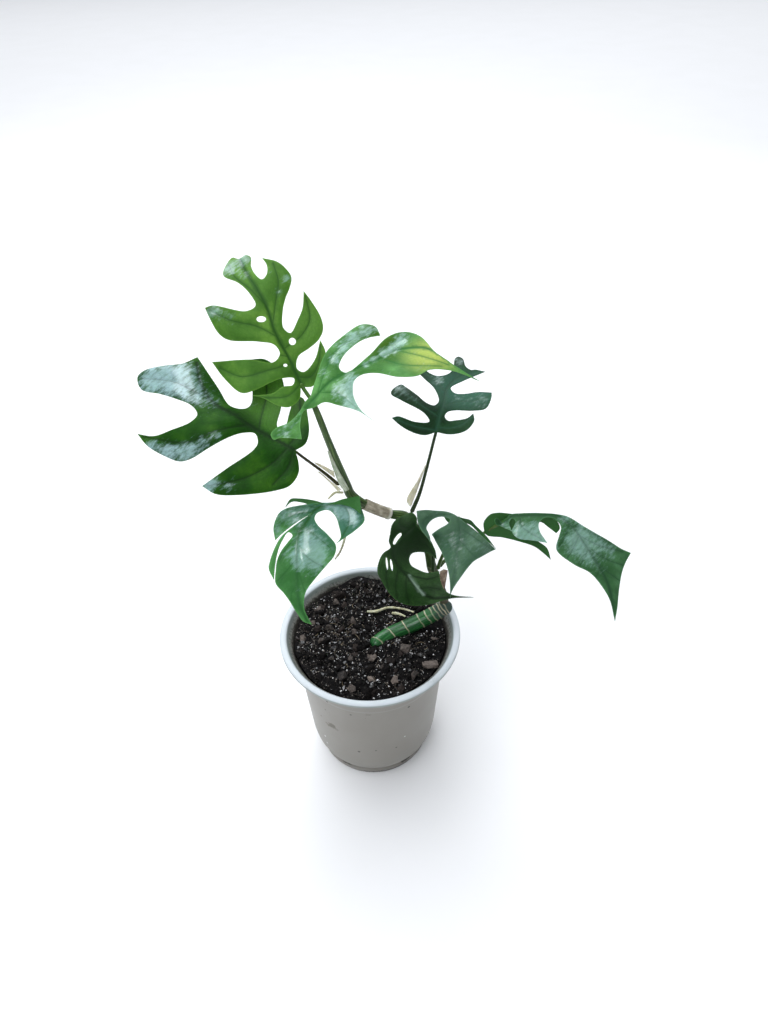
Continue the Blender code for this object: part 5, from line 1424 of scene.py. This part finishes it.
# what rises on its outside: wrinkles, and the right end that is rolled back on itself
WRINKLES = 0.10
ROLL = 0.35


def resample(line, count):
    place = np.linspace(0, len(line) - 1, count)
    return np.stack([np.interp(place, range(len(line)), line[:, k]) for k in range(3)], axis=1)


def sheath(name, rows, mat, node, curl):
    # a thin ribbed strip through rows of points, cupped across its width
    drawn = np.array(rows, float)
    lines = [resample(smooth_run(drawn[:, c], 1.0), SHEATH_ALONG) for c in range(drawn.shape[1])]
    grid = np.array([resample(row, SHEATH_ACROSS) for row in np.stack(lines, axis=1)])
    normal = np.cross(np.gradient(grid, axis=1), np.gradient(grid, axis=0))
    normal /= np.linalg.norm(normal, axis=2)[:, :, None]
    place = np.linspace(-1, 1, SHEATH_ACROSS)
    width = np.linalg.norm(grid[:, -1] - grid[:, 0], axis=1)
    cup = curl * width[:, None] * (place ** 2 - 0.5)[None, :]
    ribs = SHEATH_RIB * np.sin(place * SHEATH_RIB_TURNS)[None, :]
    grid = grid + normal * (cup + ribs)[:, :, None]
    verts = np.vstack([(grid + normal * SHEATH_THICK / 2).reshape(-1, 3),
                       (grid - normal * SHEATH_THICK / 2).reshape(-1, 3)])
    count, cols = grid.shape[:2]
    side = count * cols
    faces = []
    for r in range(count - 1):
        for a in range(r * cols, r * cols + cols - 1):
            faces.append((a, a + 1, a + cols + 1, a + cols))
            faces.append((side + a, side + a + cols, side + a + cols + 1, side + a + 1))
    ring = list(range(cols)) + [r * cols + cols - 1 for r in range(1, count)]
    ring += [(count - 1) * cols + c for c in range(cols - 2, -1, -1)]
    ring += [r * cols for r in range(count - 2, 0, -1)]
    faces += [(a, side + a, side + b, b) for a, b in zip(ring, ring[1:] + ring[:1])]
    skin = [(r * SHEATH_ROW, p * width[r] / 2, 0.0) for r in range(count) for p in place]
    new_piece(name, verts, faces, mat, [node], sharp=40.0, values={"skin": skin + skin})


def papery_material(name, tones, rough, glow, worn=None):
    # dried leaf sheath: long fibres 0.3 mm apart, stained in patches, with a colour of its own
    # where "worn" is 1
    mat, place = new_material(name, tones[1])
    squeeze = vector_maths(mat, "MULTIPLY", kept(mat, "skin", "Vector"), (0.10, 3.0, 1.0))
    fibres = clouds(mat, squeeze, 1.0, 4.0)
    both = maths(mat, "ADD", fibres, clouds(mat, place, 260.0, 3.0))
    tone = three_tones(mat, maths(mat, "MULTIPLY", both, 0.5), tones, (0.36, 0.5, 0.64))
    if worn:
        tone = mix(mat, kept(mat, "worn"), tone, worn)
    set_surface(mat, {"Base Color": tone, "Roughness": rough,
                      "Normal": bump(mat, fibres, 0.5, 0.0003), "Subsurface Weight": glow,
                      "Subsurface Radius": (1.0, 0.8, 0.5), "Subsurface Scale": 0.001})
    return mat


cream_sheath = papery_material("sheath_papery_cream", ("#c2bd9c", "#dcd9c2", "#f0eee0"),
                               rough=0.6, glow=0.3)
green_sheath = papery_material("sheath_papery_grey_green", ("#75886a", "#a0ab92", "#cdd4c2"),
                               rough=0.5, glow=0.2)
tan_sheath = papery_material("sheath_papery_tan", ("#5a4636", "#8d7560", "#c9b9a0"),
                             rough=0.7, glow=0.15)
# the sleeve has weathered to grey olive, and its rolled end to bone
sleeve_sheath = papery_material("sheath_weathered_olive", ("#6b6350", "#98907c", "#c4bca6"),
                                rough=0.65, glow=0.1, worn="#e4e1d4")

sheath("sheath_strip_d",
       [[(39.8, 31.6, 243.6), (40.5, 32.2, 243.8)], [(35.0, 28.0, 234.5), (37.2, 29.4, 233.8)],
        [(27.6, 23.6, 221.2), (31.9, 23.8, 220.4)], [(29.6, 20.9, 218.0), (30.2, 21.2, 217.9)]],
       cream_sheath, "wing_d", curl=0.10)
sheath("sheath_strip_b_upper",
       [[(-29.6, 12.4, 263.2), (-29.0, 12.4, 262.1)], [(-24.4, 13.2, 259.8), (-24.4, 12.8, 257.2)],
        [(-18.2, 14.0, 254.6), (-17.6, 13.4, 249.8)]],
       cream_sheath, "wing_b_upper", curl=0.08)
sheath("sheath_strip_b_lower",
       [[(-27.7, 10.8, 256.5), (-27.0, 10.9, 256.8)], [(-24.9, 10.7, 253.5), (-24.1, 11.0, 253.7)],
        [(-20.5, 10.5, 247.6), (-19.7, 11.1, 248.4)], [(-17.6, 10.2, 243.4), (-16.0, 10.9, 244.8)],
        [(-15.8, 9.9, 241.4), (-14.1, 10.1, 242.8)]],
       cream_sheath, "wing_b_lower", curl=0.08)
sheath("sheath_strip_shoot",
       [[(-21.0, 14.6, 269.6), (-19.8, 13.2, 270.4)], [(-19.0, 13.4, 259.6), (-16.5, 12.0, 260.4)],
        [(-17.0, 11.8, 252.4), (-13.4, 10.2, 253.6)], [(-15.2, 10.4, 247.2), (-10.8, 9.2, 248.0)],
        [(-11.9, 8.4, 242.4), (-9.0, 8.2, 244.2)]],
       green_sheath, "shoot_sheath", curl=0.10)
sheath("sheath_bract",
       [[(50.8, 17.4, 160.1), (53.4, 19.8, 160.4), (56.7, 21.9, 156.7)],
        [(51.2, 17.1, 152.2), (53.6, 18.5, 150.6), (56.0, 20.5, 150.5)],
        [(52.1, 14.6, 146.5), (53.6, 15.2, 145.3), (54.7, 16.5, 145.5)]],
       tan_sheath, "bract", curl=0.05)

path = [p for p in smooth_run(VINE_PATH, 3.0) if SLEEVE_FROM < p[0] < SLEEVE_TO][1:-1]
outer, sides, skin = tube(path, [SLEEVE_OUTER] * 2, SLEEVE_SIDES, SLEEVE_STEP, round_ends=False)
inner, _, inner_skin = tube(path, [SLEEVE_INNER] * 2, SLEEVE_SIDES, SLEEVE_STEP, round_ends=False)
from_right = skin[:, 0] if path[0][0] > path[-1][0] else skin[-1, 0] - skin[:, 0]
rolled = np.exp(-((from_right - 1.0) / 0.9) ** 2)
rise = np.array([WRINKLES * noise.noise(Vector(v) * 0.9) for v in outer]) + ROLL * rolled
centre = outer.reshape(-1, SLEEVE_SIDES, 3).mean(axis=1).repeat(SLEEVE_SIDES, axis=0)
outer = outer + (outer - centre) * (rise / SLEEVE_OUTER)[:, None]
count = len(outer)
end = count - SLEEVE_SIDES
faces = sides[:-2] + [[count + i for i in reversed(f)] for f in sides[:-2]]
for k in range(SLEEVE_SIDES):
    n = (k + 1) % SLEEVE_SIDES
    faces.append((k, count + k, count + n, n))
    faces.append((end + k, end + n, count + end + n, count + end + k))
new_piece("sheath_sleeve", np.vstack([outer, inner]), faces, sleeve_sheath,
          ["vine_sleeve"], values={"skin": np.vstack([skin, inner_skin]) * (1.0, 1.0, 0.0),
                                   "worn": np.tile(0.9 * rolled, 2)})


# The aerial roots: pale corky threads from the vine's joints. One hangs behind leaf E, a young one
# points left from the shoot, and two have reached the mix and lie on it.
ROOT_SIDES = 14
ROOT_STEP = 0.6
# how far a root on the mix lies above it at its start, and how much it has risen at its end
ROOT_LIFT = 1.15
ROOT_RISE = 1.6
ROOT_RADII = [0.8, 1.15, 0.85, 0.7, 0.65]
# route and radii of the two that hang free
ROOTS = {
    "root_hanging": ([(-8.6, 13.4, 231.6), (-11.0, 15.5, 215.0), (-14.2, 15.0, 197.5),
                      (-17.8, 13.0, 187.0), (-22.0, 12.0, 180.0)], [1.0, 0.9, 0.8, 0.6]),
    "root_tip": ([(-12.9, 12.4, 238.4), (-18.0, 11.4, 239.4), (-22.8, 8.6, 236.6)],
                 [0.8, 0.8, 0.6])}


def knobbly(along, turn):
    # swellings of a tenth of a millimetre, about 3 mm apart but uneven
    return 0.10 * np.sin(along * 1.9 + 2.0 * np.sin(along * 0.43)) * np.ones(len(turn))


for node, line in ROOT_LINES.items():
    route = []
    for i, (x, y) in enumerate(line):
        z = float(soil_height(x, y)) + ROOT_LIFT + ROOT_RISE * i / (len(line) - 1)
        route.append((x, y, z))
    ROOTS[node] = (route, ROOT_RADII)
# aerial root, grown: cork skin, cream to straw with fine cracks across
root_skin = papery_material("root_corky_straw", ("#9d9976", "#c9c6a2", "#e2e1c8"),
                            rough=0.7, glow=0.2)
for node, (route, radii) in ROOTS.items():
    verts, faces, skin = tube(route, radii, ROOT_SIDES, ROOT_STEP, knobbly)
    new_piece(node + "_thread", verts, faces, root_skin, [node],
              values={"skin": skin * (1, 1, 0)})
